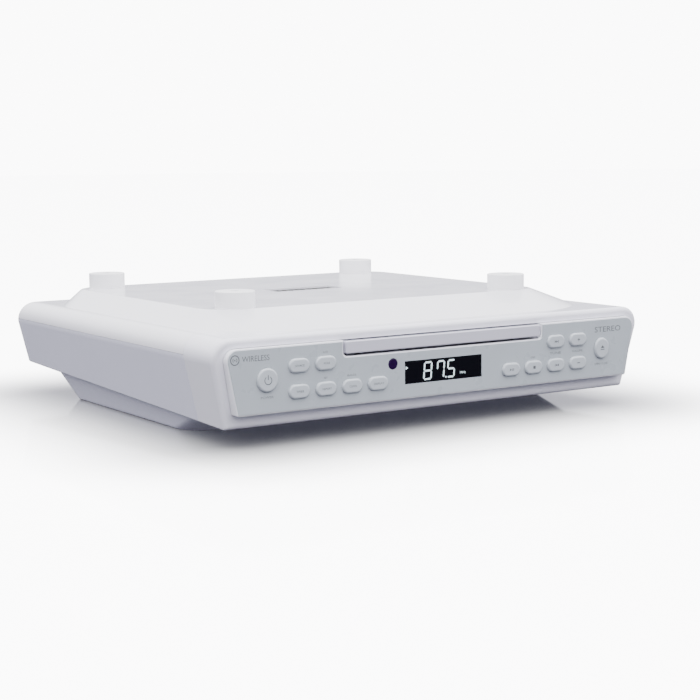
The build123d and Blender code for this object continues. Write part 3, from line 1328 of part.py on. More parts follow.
# ---------------------------------------------------------------- cam slider that lifts the traverse
PIN_Z = TRAVERSE_Z + TRAVERSE_THICKNESS / 2
with BuildPart() as cam_slider:
    with BuildSketch(front_plane(CAM_Y + CAM_THICKNESS / 2)):
        with Locations(CAM_PLATE_AT):
            RectangleRounded(*CAM_PLATE, 1.5)
        cam_angle = math.degrees(math.atan2(CAM_DROP, CAM_STROKE))
        slot_radius = CAM_PIN_RADIUS + CAM_SLOT_GAP
        cam_length = math.hypot(CAM_DROP, CAM_STROKE) + 2 * slot_radius
        with Locations((-CAM_STROKE / 2, PIN_Z - CAM_DROP / 2)):
            SlotOverall(cam_length, 2 * slot_radius, rotation=cam_angle, mode=Mode.SUBTRACT)
    extrude(amount=CAM_THICKNESS)
cam_slider.part.label = "cam_slider"
export_step(cam_slider.part, "parts/cam_slider.step")

# ---------------------------------------------------------------- traverse: it carries the optics
with BuildPart() as traverse_frame:
    window_y, window_width, window_length = TRAVERSE_WINDOW
    with BuildSketch(Plane.XY.offset(TRAVERSE_Z)):
        with Locations((WINDOW_X, TRAVERSE_Y)):
            RectangleRounded(*TRAVERSE_SIZE, 3)
        with Locations((0, window_y)):
            Rectangle(window_width, window_length, mode=Mode.SUBTRACT)
        with Locations((SLED_X, SLED_Y)):
            Circle(MOTOR_SHAFT_RADIUS + 0.6, mode=Mode.SUBTRACT)
    extrude(amount=TRAVERSE_THICKNESS)
    # stiffening ribs under the plate
    rib_width, rib_length, rib_depth = TRAVERSE_RIB
    with BuildSketch(Plane.XY.offset(TRAVERSE_Z - rib_depth)):
        with Locations(*[(rib_x, TRAVERSE_Y) for rib_x in TRAVERSE_RIB_X]):
            Rectangle(rib_width, rib_length)
    extrude(amount=rib_depth)
    # seats of the guide rods
    plate_top = TRAVERSE_Z + TRAVERSE_THICKNESS
    with BuildSketch(Plane.XY.offset(plate_top)):
        with Locations((0, window_y)):
            with GridLocations(2 * ROD_X, ROD_SEAT_PITCH, 2, 2):
                Rectangle(*ROD_SEAT)
    extrude(amount=ROD_Z + ROD_RADIUS + 1.0 - plate_top)
    with BuildSketch(front_plane(HINGE_Y)):
        with Locations((-ROD_X, ROD_Z), (ROD_X, ROD_Z)):
            Circle(ROD_RADIUS)
    extrude(amount=ROD_LENGTH + 20, mode=Mode.SUBTRACT)
    # hinge pins at the rear
    with BuildSketch(Plane.YZ.offset(HINGE_PIN_ENDS[0])):
        with Locations((HINGE_Y, HINGE_Z)):
            Circle(HINGE_RADIUS)
    extrude(amount=HINGE_PIN_LENGTH)
    with BuildSketch(Plane.YZ.offset(HINGE_PIN_ENDS[1])):
        with Locations((HINGE_Y, HINGE_Z)):
            Circle(HINGE_RADIUS)
    extrude(amount=-HINGE_PIN_LENGTH)
    # pin that rides in the cam slider
    with BuildSketch(front_plane(CAM_PIN_ROOT_Y)):
        with Locations((0, PIN_Z)):
            Circle(CAM_PIN_RADIUS)
    extrude(amount=CAM_PIN_ROOT_Y - CAM_Y + CAM_PIN_REACH)
traverse_frame.part.label = "traverse_frame"
export_step(traverse_frame.part, "parts/traverse_frame.step")

with BuildPart() as guide_rods:
    with BuildSketch(front_plane(0)):
        with Locations((-ROD_X, ROD_Z), (ROD_X, ROD_Z)):
            Circle(ROD_RADIUS)
    extrude(amount=ROD_LENGTH)
guide_rods.part.label = "guide_rods"
export_step(guide_rods.part, "parts/guide_rods.step")

with BuildPart() as spindle_motor:
    with BuildSketch(Plane.XY.offset(TRAVERSE_Z + TRAVERSE_THICKNESS)):
        with Locations((0, DISC_Y)):
            Circle(SPINDLE_MOTOR_RADIUS)
    extrude(amount=SPINDLE_MOTOR_HEIGHT)
    fillet(spindle_motor.edges().group_by(Axis.Z)[-1], 0.8)
    with BuildSketch(Plane.XY.offset(TRAVERSE_Z + TRAVERSE_THICKNESS + SPINDLE_MOTOR_HEIGHT)):
        with Locations((0, DISC_Y)):
            Circle(MOTOR_SHAFT_RADIUS)
    extrude(amount=SPINDLE_LENGTH)
spindle_motor.part.label = "spindle_motor"
export_step(spindle_motor.part, "parts/spindle_motor.step")

with BuildPart() as turntable:
    with BuildSketch(Plane(origin=(0, DISC_Y, 0), x_dir=(1, 0, 0), z_dir=(0, -1, 0))):
        with BuildLine():
            Polyline(
                (0, TURNTABLE_Z - SPINDLE_SEAT),
                (MOTOR_SHAFT_RADIUS + SHAFT_GAP, TURNTABLE_Z - SPINDLE_SEAT),
                (MOTOR_SHAFT_RADIUS + SHAFT_GAP, TURNTABLE_Z - HUB_DEPTH),
                (HUB_RADIUS, TURNTABLE_Z - HUB_DEPTH),
                (HUB_RADIUS, TURNTABLE_Z - TURNTABLE_THICKNESS),
                (TURNTABLE_RADIUS, TURNTABLE_Z - TURNTABLE_THICKNESS),
                (TURNTABLE_RADIUS, TURNTABLE_Z),
                (JAW_RADIUS, TURNTABLE_Z),
                (JAW_RADIUS, TURNTABLE_Z + JAW_HEIGHT / 3),
                (JAW_TIP_RADIUS, TURNTABLE_Z + JAW_HEIGHT),
                (0, TURNTABLE_Z + JAW_HEIGHT),
                close=True,
            )
        make_face()
    revolve(axis=Axis((0, DISC_Y, 0), (0, 0, 1)))
    # gaps between the three centring jaws
    with BuildSketch(Plane(origin=(0, DISC_Y, TURNTABLE_Z + 0.2), z_dir=(0, 0, 1))):
        with PolarLocations(JAW_GAP_RADIUS, 3):
            Rectangle(*JAW_GAP)
    extrude(amount=3, mode=Mode.SUBTRACT)
turntable.part.label = "turntable"
export_step(turntable.part, "parts/turntable.step")

with BuildPart() as pickup:
    body_width, body_length, body_height = PICKUP_BODY
    shoe_width, shoe_length, shoe_height = PICKUP_SHOE
    with BuildSketch(Plane.XY.offset(PICKUP_BOTTOM_Z)):
        with Locations((0, PICKUP_Y)):
            RectangleRounded(body_width, body_length, 2)
    extrude(amount=body_height)
    with BuildSketch(Plane.XY.offset(PICKUP_BOTTOM_Z)):
        with Locations((-PICKUP_SHOE_X, PICKUP_Y), (PICKUP_SHOE_X, PICKUP_Y)):
            Rectangle(shoe_width, shoe_length)
    extrude(amount=shoe_height)
    with BuildSketch(front_plane(0)):
        with Locations((-ROD_X, ROD_Z), (ROD_X, ROD_Z)):
            Circle(ROD_RADIUS + SHAFT_GAP)
    extrude(amount=ROD_LENGTH + 12, mode=Mode.SUBTRACT)
    # lens and its holder
    holder_z = PICKUP_BOTTOM_Z + body_height
    with BuildSketch(Plane.XY.offset(holder_z)):
        with Locations((0, LENS_Y)):
            RectangleRounded(*LENS_HOLDER[:2], 2)
    extrude(amount=LENS_HOLDER[2])
    with BuildSketch(Plane.XY.offset(holder_z + LENS_HOLDER[2])):
        with Locations((0, LENS_Y)):
            Circle(LENS_RADIUS)
    extrude(amount=LENS_HEIGHT)
    fillet(pickup.edges().group_by(Axis.Z)[-1], 0.6)
    # arm and rack that the sled gear drives
    arm_x, arm_width, arm_length = SLED_ARM
    with BuildSketch(Plane.XY.offset(SLED_Z)):
        with Locations((arm_x, PICKUP_Y)):
            Rectangle(arm_width, arm_length)
    extrude(amount=SLED_FACE)
    sled_rack_x = SLED_X - MODULE * SLED_TEETH / 2
    with BuildSketch(Plane(origin=(sled_rack_x, SLED_RACK_START_Y, SLED_Z), z_dir=(0, 0, 1))):
        rack_outline(SLED_RACK_LENGTH, (SLED_Y - SLED_RACK_START_Y) % (math.pi * MODULE), RACK_BACK)
    extrude(amount=SLED_FACE)
pickup.part.label = "pickup"
export_step(pickup.part, "parts/pickup.step")

with BuildPart() as sled_motor:
    with BuildSketch(Plane.XY.offset(TRAVERSE_Z - SLED_MOTOR_LENGTH)):
        with Locations((SLED_X, SLED_Y)):
            Circle(SLED_MOTOR_RADIUS)
    extrude(amount=SLED_MOTOR_LENGTH)
    with BuildSketch(Plane.XY.offset(TRAVERSE_Z)):
        with Locations((SLED_X, SLED_Y)):
            Circle(MOTOR_SHAFT_RADIUS)
    extrude(amount=SLED_Z + SLED_FACE - TRAVERSE_Z)
sled_motor.part.label = "sled_motor"
export_step(sled_motor.part, "parts/sled_motor.step")

with BuildPart() as sled_gear:
    sled_plane = Plane(origin=(SLED_X, SLED_Y, SLED_Z), z_dir=(0, 0, 1))
    with BuildSketch(sled_plane):
        gear_outline(SLED_TEETH, 180 / SLED_TEETH)
        Circle(MOTOR_SHAFT_RADIUS + SHAFT_GAP, mode=Mode.SUBTRACT)
    extrude(amount=SLED_FACE)
sled_gear.part.label = "sled_gear"
export_step(sled_gear.part, "parts/sled_gear.step")

# ---------------------------------------------------------------- disc clamp
with BuildPart() as clamp_bridge:
    with BuildSketch(Plane.XY.offset(BRIDGE_Z)):
        with Locations((0, DISC_Y)):
            Rectangle(2 * RAIL_OUTER, BRIDGE_WIDTH)
            Circle(BRIDGE_HOLE_RADIUS, mode=Mode.SUBTRACT)
    extrude(amount=BRIDGE_THICKNESS)
    foot_x = RAIL_OUTER - BRIDGE_FOOT / 2
    with BuildSketch(Plane.XY.offset(RAIL_TOP_Z)):
        with Locations((-foot_x, DISC_Y), (foot_x, DISC_Y)):
            Rectangle(BRIDGE_FOOT, BRIDGE_WIDTH)
    extrude(amount=BRIDGE_Z - RAIL_TOP_Z)
clamp_bridge.part.label = "clamp_bridge"
export_step(clamp_bridge.part, "parts/clamp_bridge.step")

with BuildPart() as clamp_puck:
    puck_z = PUCK_Z
    for puck_radius, puck_height in zip(PUCK_RADII, PUCK_HEIGHTS):
        with BuildSketch(Plane.XY.offset(puck_z)):
            with Locations((0, DISC_Y)):
                Circle(puck_radius)
        extrude(amount=puck_height)
        puck_z += puck_height
    pocket_reach, pocket_radius, pocket_depth = PUCK_POCKET
    with BuildSketch(Plane.XY.offset(puck_z - pocket_depth)):
        with Locations((0, DISC_Y)):
            with PolarLocations(pocket_reach, 3):
                Circle(pocket_radius)
    extrude(amount=pocket_depth, mode=Mode.SUBTRACT)
clamp_puck.part.label = "clamp_puck"
export_step(clamp_puck.part, "parts/clamp_puck.step")
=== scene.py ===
import math

import bmesh
import bpy
from mathutils import Matrix, Vector


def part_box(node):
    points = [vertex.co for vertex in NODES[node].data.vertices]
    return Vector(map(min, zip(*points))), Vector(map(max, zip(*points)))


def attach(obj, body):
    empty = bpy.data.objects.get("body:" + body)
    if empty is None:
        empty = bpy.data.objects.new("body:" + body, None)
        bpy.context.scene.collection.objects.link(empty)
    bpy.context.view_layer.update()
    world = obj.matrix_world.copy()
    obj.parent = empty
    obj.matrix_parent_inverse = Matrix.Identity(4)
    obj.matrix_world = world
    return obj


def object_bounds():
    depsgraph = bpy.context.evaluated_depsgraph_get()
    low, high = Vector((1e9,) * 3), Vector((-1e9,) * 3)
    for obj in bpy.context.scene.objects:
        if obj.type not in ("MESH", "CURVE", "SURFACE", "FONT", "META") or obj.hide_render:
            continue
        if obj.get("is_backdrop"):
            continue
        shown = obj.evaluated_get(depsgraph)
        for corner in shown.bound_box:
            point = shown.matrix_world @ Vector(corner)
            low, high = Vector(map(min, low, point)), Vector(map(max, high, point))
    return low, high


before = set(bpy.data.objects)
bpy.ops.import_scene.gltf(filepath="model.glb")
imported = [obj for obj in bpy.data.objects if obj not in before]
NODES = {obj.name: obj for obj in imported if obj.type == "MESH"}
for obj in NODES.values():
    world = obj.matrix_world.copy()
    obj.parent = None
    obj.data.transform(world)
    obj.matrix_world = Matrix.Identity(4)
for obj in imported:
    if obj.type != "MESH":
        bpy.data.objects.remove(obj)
lo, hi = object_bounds()
MM = 0.001


# ------------------------------------------------------------------ materials
class Mat:
    """Small builder around one node material."""

    def __init__(self, name, color, rough, metal=0.0, coat=0.0, coat_rough=0.05, ior=1.5, specular=0.5):
        self.m = bpy.data.materials.new(name)
        self.m.use_nodes = True
        self.nt = self.m.node_tree
        self.p = self.nt.nodes["Principled BSDF"]
        self.p.inputs["Base Color"].default_value = (*color, 1)
        self.p.inputs["Roughness"].default_value = rough
        self.p.inputs["Metallic"].default_value = metal
        self.p.inputs["Coat Weight"].default_value = coat
        self.p.inputs["Coat Roughness"].default_value = coat_rough
        self.p.inputs["IOR"].default_value = ior
        self.p.inputs["Specular IOR Level"].default_value = specular
        self.color = color
        self.rough = rough
        self.coord = self.nt.nodes.new("ShaderNodeTexCoord")
        self.last_bump = None

    def noise(self, scale, detail=3.0, stretch=None):
        n = self.nt.nodes.new("ShaderNodeTexNoise")
        n.inputs["Scale"].default_value = scale
        n.inputs["Detail"].default_value = detail
        source = self.coord.outputs["Object"]
        if stretch:
            mp = self.nt.nodes.new("ShaderNodeMapping")
            mp.inputs["Scale"].default_value = stretch
            self.nt.links.new(source, mp.inputs["Vector"])
            source = mp.outputs["Vector"]
        self.nt.links.new(source, n.inputs["Vector"])
        return n.outputs["Fac"]

    def ramp(self, fac, a, b, lo=0.3, hi=0.7):
        r = self.nt.nodes.new("ShaderNodeValToRGB")
        r.color_ramp.elements[0].position = lo
        r.color_ramp.elements[0].color = (*a, 1)
        r.color_ramp.elements[1].position = hi
        r.color_ramp.elements[1].color = (*b, 1)
        self.nt.links.new(fac, r.inputs["Fac"])
        return r.outputs["Color"]

    def vary_color(self, scale, amount, detail=4.0, stretch=None):
        a = tuple(max(0.0, c * (1 - amount)) for c in self.color)
        b = tuple(min(1.0, c * (1 + amount)) for c in self.color)
        out = self.ramp(self.noise(scale, detail, stretch), a, b)
        self.nt.links.new(out, self.p.inputs["Base Color"])
        return self

    def vary_rough(self, scale, low, high, detail=4.0, stretch=None):
        m = self.nt.nodes.new("ShaderNodeMapRange")
        m.inputs["From Min"].default_value = 0.3
        m.inputs["From Max"].default_value = 0.7
        m.inputs["To Min"].default_value = low
        m.inputs["To Max"].default_value = high
        self.nt.links.new(self.noise(scale, detail, stretch), m.inputs["Value"])
        self.nt.links.new(m.outputs["Result"], self.p.inputs["Roughness"])
        return self

    def bump(self, scale, strength, distance=0.0001, detail=2.0, stretch=None):
        b = self.nt.nodes.new("ShaderNodeBump")
        b.inputs["Strength"].default_value = strength
        b.inputs["Distance"].default_value = distance
        self.nt.links.new(self.noise(scale, detail, stretch), b.inputs["Height"])
        if self.last_bump is not None:
            self.nt.links.new(self.last_bump.outputs["Normal"], b.inputs["Normal"])
        self.nt.links.new(b.outputs["Normal"], self.p.inputs["Normal"])
        self.last_bump = b
        return self


def moulded_gloss(name, color, rough_low, rough_high):
    """Glossy injection-moulded plastic: faint orange peel, a little haze and a clear skin."""
    m = Mat(name, color, rough_low, coat=0.35, coat_rough=0.06, ior=1.49)
    m.vary_color(22, 0.012)
    m.vary_rough(35, rough_low, rough_high)
    m.bump(260, 0.05, 0.00012)
    m.bump(40, 0.05, 0.0004)
    return m.m


def satin_plastic(name, color, rough_low, rough_high, grain=1800, strength=0.18, specular=0.5):
    """Fine spark-eroded grain on satin plastic."""
    m = Mat(name, color, rough_low, ior=1.48, specular=specular)
    m.vary_color(60, 0.02)
    m.vary_rough(90, rough_low, rough_high)
    m.bump(grain, strength, 0.00006)
    return m.m


def brushed(name, color, rough, stretch):
    """Metal with its grain drawn out along one axis."""
    m = Mat(name, color, rough, metal=1.0)
    m.vary_color(40, 0.06, stretch=stretch)
    m.vary_rough(60, rough * 0.8, rough * 1.25, stretch=stretch)
    m.bump(400, 0.12, 0.00005, stretch=stretch)
    return m.m


WHITE = (0.79, 0.785, 0.835)
mats = {
    "cover": moulded_gloss("cover_white", WHITE, 0.14, 0.2),
    # lower case and tub: the cover's white painted darker and more violet, as painted shade on the sides and
    # underside
    "case": moulded_gloss("case_white_painted_shade", (0.72, 0.72, 0.84), 0.16, 0.22),
    # front frame: the white given an extra violet tint, as a painted reflection of the darker surroundings
    # round the panel
    "frame": moulded_gloss("frame_white_painted_reflection", (0.80, 0.795, 0.875), 0.10, 0.16),
    "bezel": moulded_gloss("bezel_white", (0.82, 0.82, 0.87), 0.10, 0.16),
    # drawer front: the same white plastic painted much darker and violet, as painted shade under the panel
    "drawer": moulded_gloss("drawer_white_painted_shade", (0.55, 0.545, 0.63), 0.10, 0.16),
    "spacer": satin_plastic("spacer_white", (0.93, 0.93, 0.95), 0.3, 0.4),
    "overlay": satin_plastic("overlay_silver", (0.40, 0.435, 0.47), 0.26, 0.34, grain=2600, strength=0.1),
    "key": moulded_gloss("key_silver", (0.47, 0.505, 0.545), 0.2, 0.28),
    "print": satin_plastic("print_grey", (0.09, 0.095, 0.105), 0.4, 0.5),
    "mark": satin_plastic("mark_grey", (0.12, 0.125, 0.135), 0.35, 0.45),
    "black": satin_plastic("moulded_black", (0.012, 0.012, 0.013), 0.45, 0.55, specular=0.25),
    "tray": satin_plastic("tray_black", (0.016, 0.016, 0.018), 0.4, 0.5, specular=0.2),
    "gear": satin_plastic("acetal_natural", (0.78, 0.76, 0.70), 0.35, 0.45),
    "board": satin_plastic("board_green", (0.03, 0.17, 0.07), 0.3, 0.4),
    "parts": satin_plastic("component_black", (0.025, 0.025, 0.03), 0.4, 0.5),
    "rubber": satin_plastic("belt_rubber", (0.015, 0.015, 0.015), 0.6, 0.7, grain=900, strength=0.3),
    "cone": satin_plastic("cone_paper", (0.03, 0.03, 0.033), 0.7, 0.8, grain=500, strength=0.5),
    "steel": brushed("steel_zinc", (0.62, 0.62, 0.64), 0.3, (1, 1, 8)),
    "magnet": brushed("steel_dark", (0.33, 0.33, 0.35), 0.35, (1, 1, 6)),
    "brass": brushed("brass_turned", (0.76, 0.58, 0.28), 0.28, (1, 1, 10)),
    "aluminium": brushed("aluminium_drawn", (0.78, 0.78, 0.80), 0.3, (1, 1, 6)),
}


def display_glass():
    """Dark clear cover of the tuner display."""
    m = Mat("display_glass", (0.003, 0.003, 0.005), 0.1, ior=1.3, specular=0.25)
    m.vary_rough(50, 0.05, 0.1)
    m.bump(200, 0.02, 0.00005)
    return m.m


def ir_plastic():
    """Deep purple plastic that passes infra-red."""
    m = Mat("ir_filter", (0.012, 0.002, 0.03), 0.12, ior=1.35, specular=0.3)
    m.vary_color(300, 0.2)
    m.vary_rough(80, 0.08, 0.14)
    return m.m


def lit_segment():
    """Glowing segments of the display."""
    m = Mat("lit_segment", (0.72, 0.86, 0.88), 0.4)
    m.p.inputs["Emission Color"].default_value = (0.72, 0.9, 0.95, 1)
    m.p.inputs["Emission Strength"].default_value = 0.55
    m.vary_color(900, 0.06)
    return m.m


mats["display"] = display_glass()
mats["ir"] = ir_plastic()
mats["lit"] = lit_segment()

NODE_MATS = {
    "top_cover": "cover", "lower_case": "case", "bottom_tub": "case", "front_frame": "frame",
    "control_panel": "bezel", "panel_overlay": "overlay", "drawer_front": "drawer",
    "mounting_spacers": "spacer", "vent_grille": "black", "display_lens": "display", "ir_window": "ir",
    "disc_tray": "tray", "loader_frame": "black", "clamp_bridge": "black", "clamp_puck": "black",
    "motor_pulley": "black", "aux_jack": "black", "mains_gland": "black", "antenna_gland": "black",
    "tray_gear": "gear", "pulley_gear": "gear", "sled_gear": "gear", "cam_slider": "gear",
    "traverse_frame": "gear", "case_screws": "steel", "guide_rods": "steel", "loading_motor": "steel",
    "spindle_motor": "steel", "sled_motor": "steel", "threaded_inserts": "brass",
    "heat_sink": "aluminium", "turntable": "aluminium", "pickup": "parts", "loading_belt": "rubber",
    "left_speaker_frame": "magnet", "right_speaker_frame": "magnet", "transformer": "magnet",
    "left_speaker_cone": "cone", "right_speaker_cone": "cone", "front_board": "board",
    "main_board": "board", "board_components": "parts", "tact_switches": "parts",
    "display_module": "parts", "wireless_module": "aluminium",
}
for name, obj in NODES.items():
    key = NODE_MATS.get(name, "key" if name.endswith("_key") else "parts")
    obj.data.materials.clear()
    obj.data.materials.append(mats[key])


# ------------------------------------------------------------------ printed and lit marks
PRINT_LIFT = 0.03 * MM      # how far a printed mark stands above its face
PRINT_DEPTH = 0.05 * MM     # its thickness, most of it under the face


class Flat:
    """Collects flat outlines in millimetres (x right, z up) and extrudes them off a front-facing surface."""

    def __init__(self):
        self.loops = []

    def add(self, points):
        self.loops.append(list(points))
        return self

    def bar(self, x, z, w, h):
        left, right = x - w / 2, x + w / 2
        low, high = z - h / 2, z + h / 2
        return self.add([(left, low), (right, low), (right, high), (left, high)])

    def triangle(self, x, z, w, h, way=1):
        return self.add([(x - way * w / 2, z - h / 2), (x + way * w / 2, z), (x - way * w / 2, z + h / 2)])

    def arc(self, x, z, r, width, a0, a1, steps=28):
        for i in range(steps):
            t0 = math.radians(a0 + (a1 - a0) * i / steps)
            t1 = math.radians(a0 + (a1 - a0) * (i + 1) / steps)
            inner, outer = r - width / 2, r + width / 2
            self.add([
                (x + inner * math.cos(t0), z + inner * math.sin(t0)),
                (x + outer * math.cos(t0), z + outer * math.sin(t0)),
                (x + outer * math.cos(t1), z + outer * math.sin(t1)),
                (x + inner * math.cos(t1), z + inner * math.sin(t1)),
            ])
        return self

    def build(self, name, face_y, material, body):
        bm = bmesh.new()
        front, back = face_y - PRINT_LIFT, face_y + PRINT_DEPTH - PRINT_LIFT
        for loop in self.loops:
            area = sum(a[0] * b[1] - b[0] * a[1] for a, b in zip(loop, loop[1:] + loop[:1]))
            points = loop if area > 0 else loop[::-1]
            near = [bm.verts.new((x * MM, front, z * MM)) for x, z in points]
            far = [bm.verts.new((x * MM, back, z * MM)) for x, z in points]
            bm.faces.new(near)
            bm.faces.new(far[::-1])
            for i in range(len(points)):
                j = (i + 1) % len(points)
                bm.faces.new((near[j], near[i], far[i], far[j]))
        bmesh.ops.recalc_face_normals(bm, faces=bm.faces)
        mesh = bpy.data.meshes.new(name)
        bm.to_mesh(mesh)
        bm.free()
        return place(mesh, name, material, body)


def place(mesh, name, material, body):
    """Makes a mesh into a piece that rides on a body."""
    obj = bpy.data.objects.new(name, mesh)
    bpy.context.scene.collection.objects.link(obj)
    mesh.materials.clear()
    mesh.materials.append(material)
    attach(obj, body)
    return obj


def lettering(words, face_y, name, material, body):
    """Generic function words: (text, centre x, centre z, width, height) in millimetres, as one piece."""
    bm = bmesh.new()
    for text, cx, cz, width, height in words:
        curve = bpy.data.curves.new(name + "_curve", "FONT")
        curve.body = text
        curve.resolution_u = 3
        curve.extrude = 0.0
        holder = bpy.data.objects.new(name + "_holder", curve)
        bpy.context.scene.collection.objects.link(holder)
        bpy.context.view_layer.update()
        flat = bpy.data.meshes.new_from_object(holder.evaluated_get(bpy.context.evaluated_depsgraph_get()))
        bpy.data.objects.remove(holder)
        xs = [v.co.x for v in flat.vertices]
        ys = [v.co.y for v in flat.vertices]
        sx = width * MM / (max(xs) - min(xs))
        sz = height * MM / (max(ys) - min(ys))
        mx, my = (max(xs) + min(xs)) / 2, (max(ys) + min(ys)) / 2
        part = bmesh.new()
        part.from_mesh(flat)
        bmesh.ops.remove_doubles(part, verts=part.verts, dist=0.0005)
        for v in part.verts:
            v.co = Vector(((v.co.x - mx) * sx + cx * MM, face_y - PRINT_LIFT, (v.co.y - my) * sz + cz * MM))
        bmesh.ops.recalc_face_normals(part, faces=part.faces)
        grown = bmesh.ops.extrude_face_region(part, geom=part.faces[:])
        for v in [g for g in grown["geom"] if isinstance(g, bmesh.types.BMVert)]:
            v.co.y += PRINT_DEPTH
        bmesh.ops.recalc_face_normals(part, faces=part.faces)
        step = bpy.data.meshes.new(name + "_step")
        part.to_mesh(step)
        part.free()
        bm.from_mesh(step)
        bpy.data.meshes.remove(step)
        bpy.data.meshes.remove(flat)
    mesh = bpy.data.meshes.new(name)
    bm.to_mesh(mesh)
    bm.free()
    return place(mesh, name, material, body)


def face_of(node):
    """Depth of a node's front face."""
    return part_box(node)[0][1]


def centre_of(node):
    """Middle of a node seen from the front, x and z in millimetres."""
    a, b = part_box(node)
    return (a[0] + b[0]) / 2 / MM, (a[2] + b[2]) / 2 / MM


# digits of the tuner display
SEGMENTS = {"8": "abcdefg", "7": "abcf", "5": "acdfg"}


SEGMENT_GAP = 0.18          # millimetres between neighbouring bars


def digit(flat, char, x, z, w, h, slant=0.08, thick=1.05):
    """Adds one slanted seven-segment digit, centred on (x, z), to a flat outline."""
    t = thick / 2

    def seg(p, q):
        """One bar with pointed ends between two corners of the digit."""
        (x0, z0), (x1, z1) = p, q
        length = math.hypot(x1 - x0, z1 - z0)
        ux, uz = (x1 - x0) / length, (z1 - z0) / length
        a = (x0 + ux * SEGMENT_GAP, z0 + uz * SEGMENT_GAP)
        b = (x1 - ux * SEGMENT_GAP, z1 - uz * SEGMENT_GAP)
        nx, nz = -uz * t, ux * t
        pts = [a, (a[0] + ux * t + nx, a[1] + uz * t + nz), (b[0] - ux * t + nx, b[1] - uz * t + nz), b,
               (b[0] - ux * t - nx, b[1] - uz * t - nz), (a[0] + ux * t - nx, a[1] + uz * t - nz)]
        flat.add([(px + (pz - z) * slant, pz) for px, pz in pts])

    left, right, top, low = x - w / 2, x + w / 2, z + h / 2, z - h / 2
    ends = {
        "a": ((left, top), (right, top)),
        "b": ((right, top), (right, z)),
        "c": ((right, z), (right, low)),
        "d": ((left, low), (right, low)),
        "e": ((left, z), (left, low)),
        "f": ((left, top), (left, z)),
        "g": ((left, z), (right, z)),
    }
    for segment in SEGMENTS[char]:
        seg(*ends[segment])


LENS_Y = face_of("display_lens")
PANEL_Y = face_of("panel_overlay")
dx, dz = centre_of("display_lens")
DIGIT_HEIGHT = 10.4
digits = Flat()
for char, offset, width in (("8", -12.2, 5.4), ("7", -2.4, 5.0), ("5", 5.6, 5.0)):
    digit(digits, char, dx + offset, dz, width, DIGIT_HEIGHT)
digits.bar(dx + 1.55, dz - 5.0, 1.0, 1.0)
digits.bar(dx - 28.4, dz + 2.9, 0.9, 1.7)
digits.bar(dx - 27.6, dz + 2.9, 0.7, 0.7)
digits.build("display_digits", LENS_Y, mats["lit"], "chassis")
lettering([("MHz", dx + 14.7, dz - 3.2, 4.4, 1.5)], LENS_Y, "display_unit", mats["lit"], "chassis")

# function words on the panel
words = []


def label(text, node, above=None, below=None, width=None, height=1.35):
    """Queues a word above or below a key."""
    x, z = centre_of(node)
    z = z + above if above else z - below
    words.append((text, x, z, width, height))


label("POWER", "power_key", below=10.2, width=8.6)
label("AUTO", "mode_key", above=6.5, width=3.4, height=1.1)
label("SET", "memory_key", above=6.5, width=2.6, height=1.1)
label("BASS", "clock_key", above=6.6, width=6.2, height=1.2)
label("DISC", "stop_key", above=6.4, width=3.8, height=1.1)
label("TUNE", "skip_forward_key", below=7.6, width=9.4, height=1.5)
label("VOLUME", "volume_up_key", below=7.6, width=9.0, height=1.5)
label("OPEN / CLOSE", "eject_key", below=10.4, width=11.6)
lettering(words, PANEL_Y, "panel_labels", mats["mark"], "chassis")

# generic marks at the upper corners
MARK_X, MARK_Z = -150.0, 53.4
waves = Flat()
waves.arc(MARK_X, MARK_Z, 2.75, 0.62, 0, 360, 40)
waves.bar(MARK_X, MARK_Z, 0.8, 0.8)
waves.arc(MARK_X, MARK_Z, 1.35, 0.42, -50, 50, 10)
waves.arc(MARK_X, MARK_Z, 1.35, 0.42, 130, 230, 10)
waves.build("wireless_mark", PANEL_Y, mats["mark"], "chassis")
CORNER_WORDS = [("WIRELESS", -136.2, 53.6, 18.2, 3.3), ("STEREO", 132.6, 52.4, 22.6, 3.6)]
lettering(CORNER_WORDS, PANEL_Y, "corner_marks", mats["mark"], "chassis")

# icons on the keys
FACE = {n: face_of(n) for n in NODES if n.endswith("_key")}


def icon(node):
    """Prints a key's symbol on its face."""
    x, z = centre_of(node)
    f = Flat()
    if node == "power_key":
        f.arc(x, z - 0.1, 2.35, 0.5, 125, 415, 30)
        f.bar(x, z + 1.7, 0.5, 3.0)
    elif node == "play_key":
        f.triangle(x - 0.9, z, 1.5, 1.7)
        f.bar(x + 0.5, z, 0.42, 1.6)
        f.bar(x + 1.3, z, 0.42, 1.6)
    elif node == "stop_key":
        f.bar(x, z, 1.9, 1.9)
    elif node == "skip_forward_key":
        f.triangle(x - 1.1, z, 1.3, 1.7)
        f.triangle(x + 0.3, z, 1.3, 1.7)
        f.bar(x + 1.3, z, 0.4, 1.7)
    elif node == "skip_back_key":
        f.triangle(x + 1.1, z, 1.3, 1.7, -1)
        f.triangle(x - 0.3, z, 1.3, 1.7, -1)
        f.bar(x - 1.3, z, 0.4, 1.7)
    elif node == "volume_up_key":
        f.bar(x, z, 2.2, 0.5)
        f.bar(x, z + 0.69, 0.5, 0.84)
        f.bar(x, z - 0.69, 0.5, 0.84)
    elif node == "volume_down_key":
        f.bar(x, z, 2.2, 0.5)
    elif node == "eject_key":
        f.add([(x - 1.6, z + 0.2), (x + 1.6, z + 0.2), (x, z + 2.0)])
        f.bar(x, z - 0.75, 3.2, 0.55)
    f.build(node[:-4] + "_icon", FACE[node], mats["print"], node.replace("_", " "))


for node in ("power_key", "play_key", "stop_key", "skip_forward_key", "skip_back_key", "volume_up_key",
             "volume_down_key", "eject_key"):
    icon(node)

KEY_WORDS = {"source_key": "SOURCE", "mode_key": "MODE", "timer_key": "TIMER", "memory_key": "MEMORY",
             "clock_key": "CLOCK", "display_key": "DISPLAY"}
for node, word in KEY_WORDS.items():
    x, z = centre_of(node)
    lettering([(word, x, z, 1.05 * len(word), 1.25)], FACE[node], node[:-4] + "_word", mats["print"],
              node.replace("_", " "))


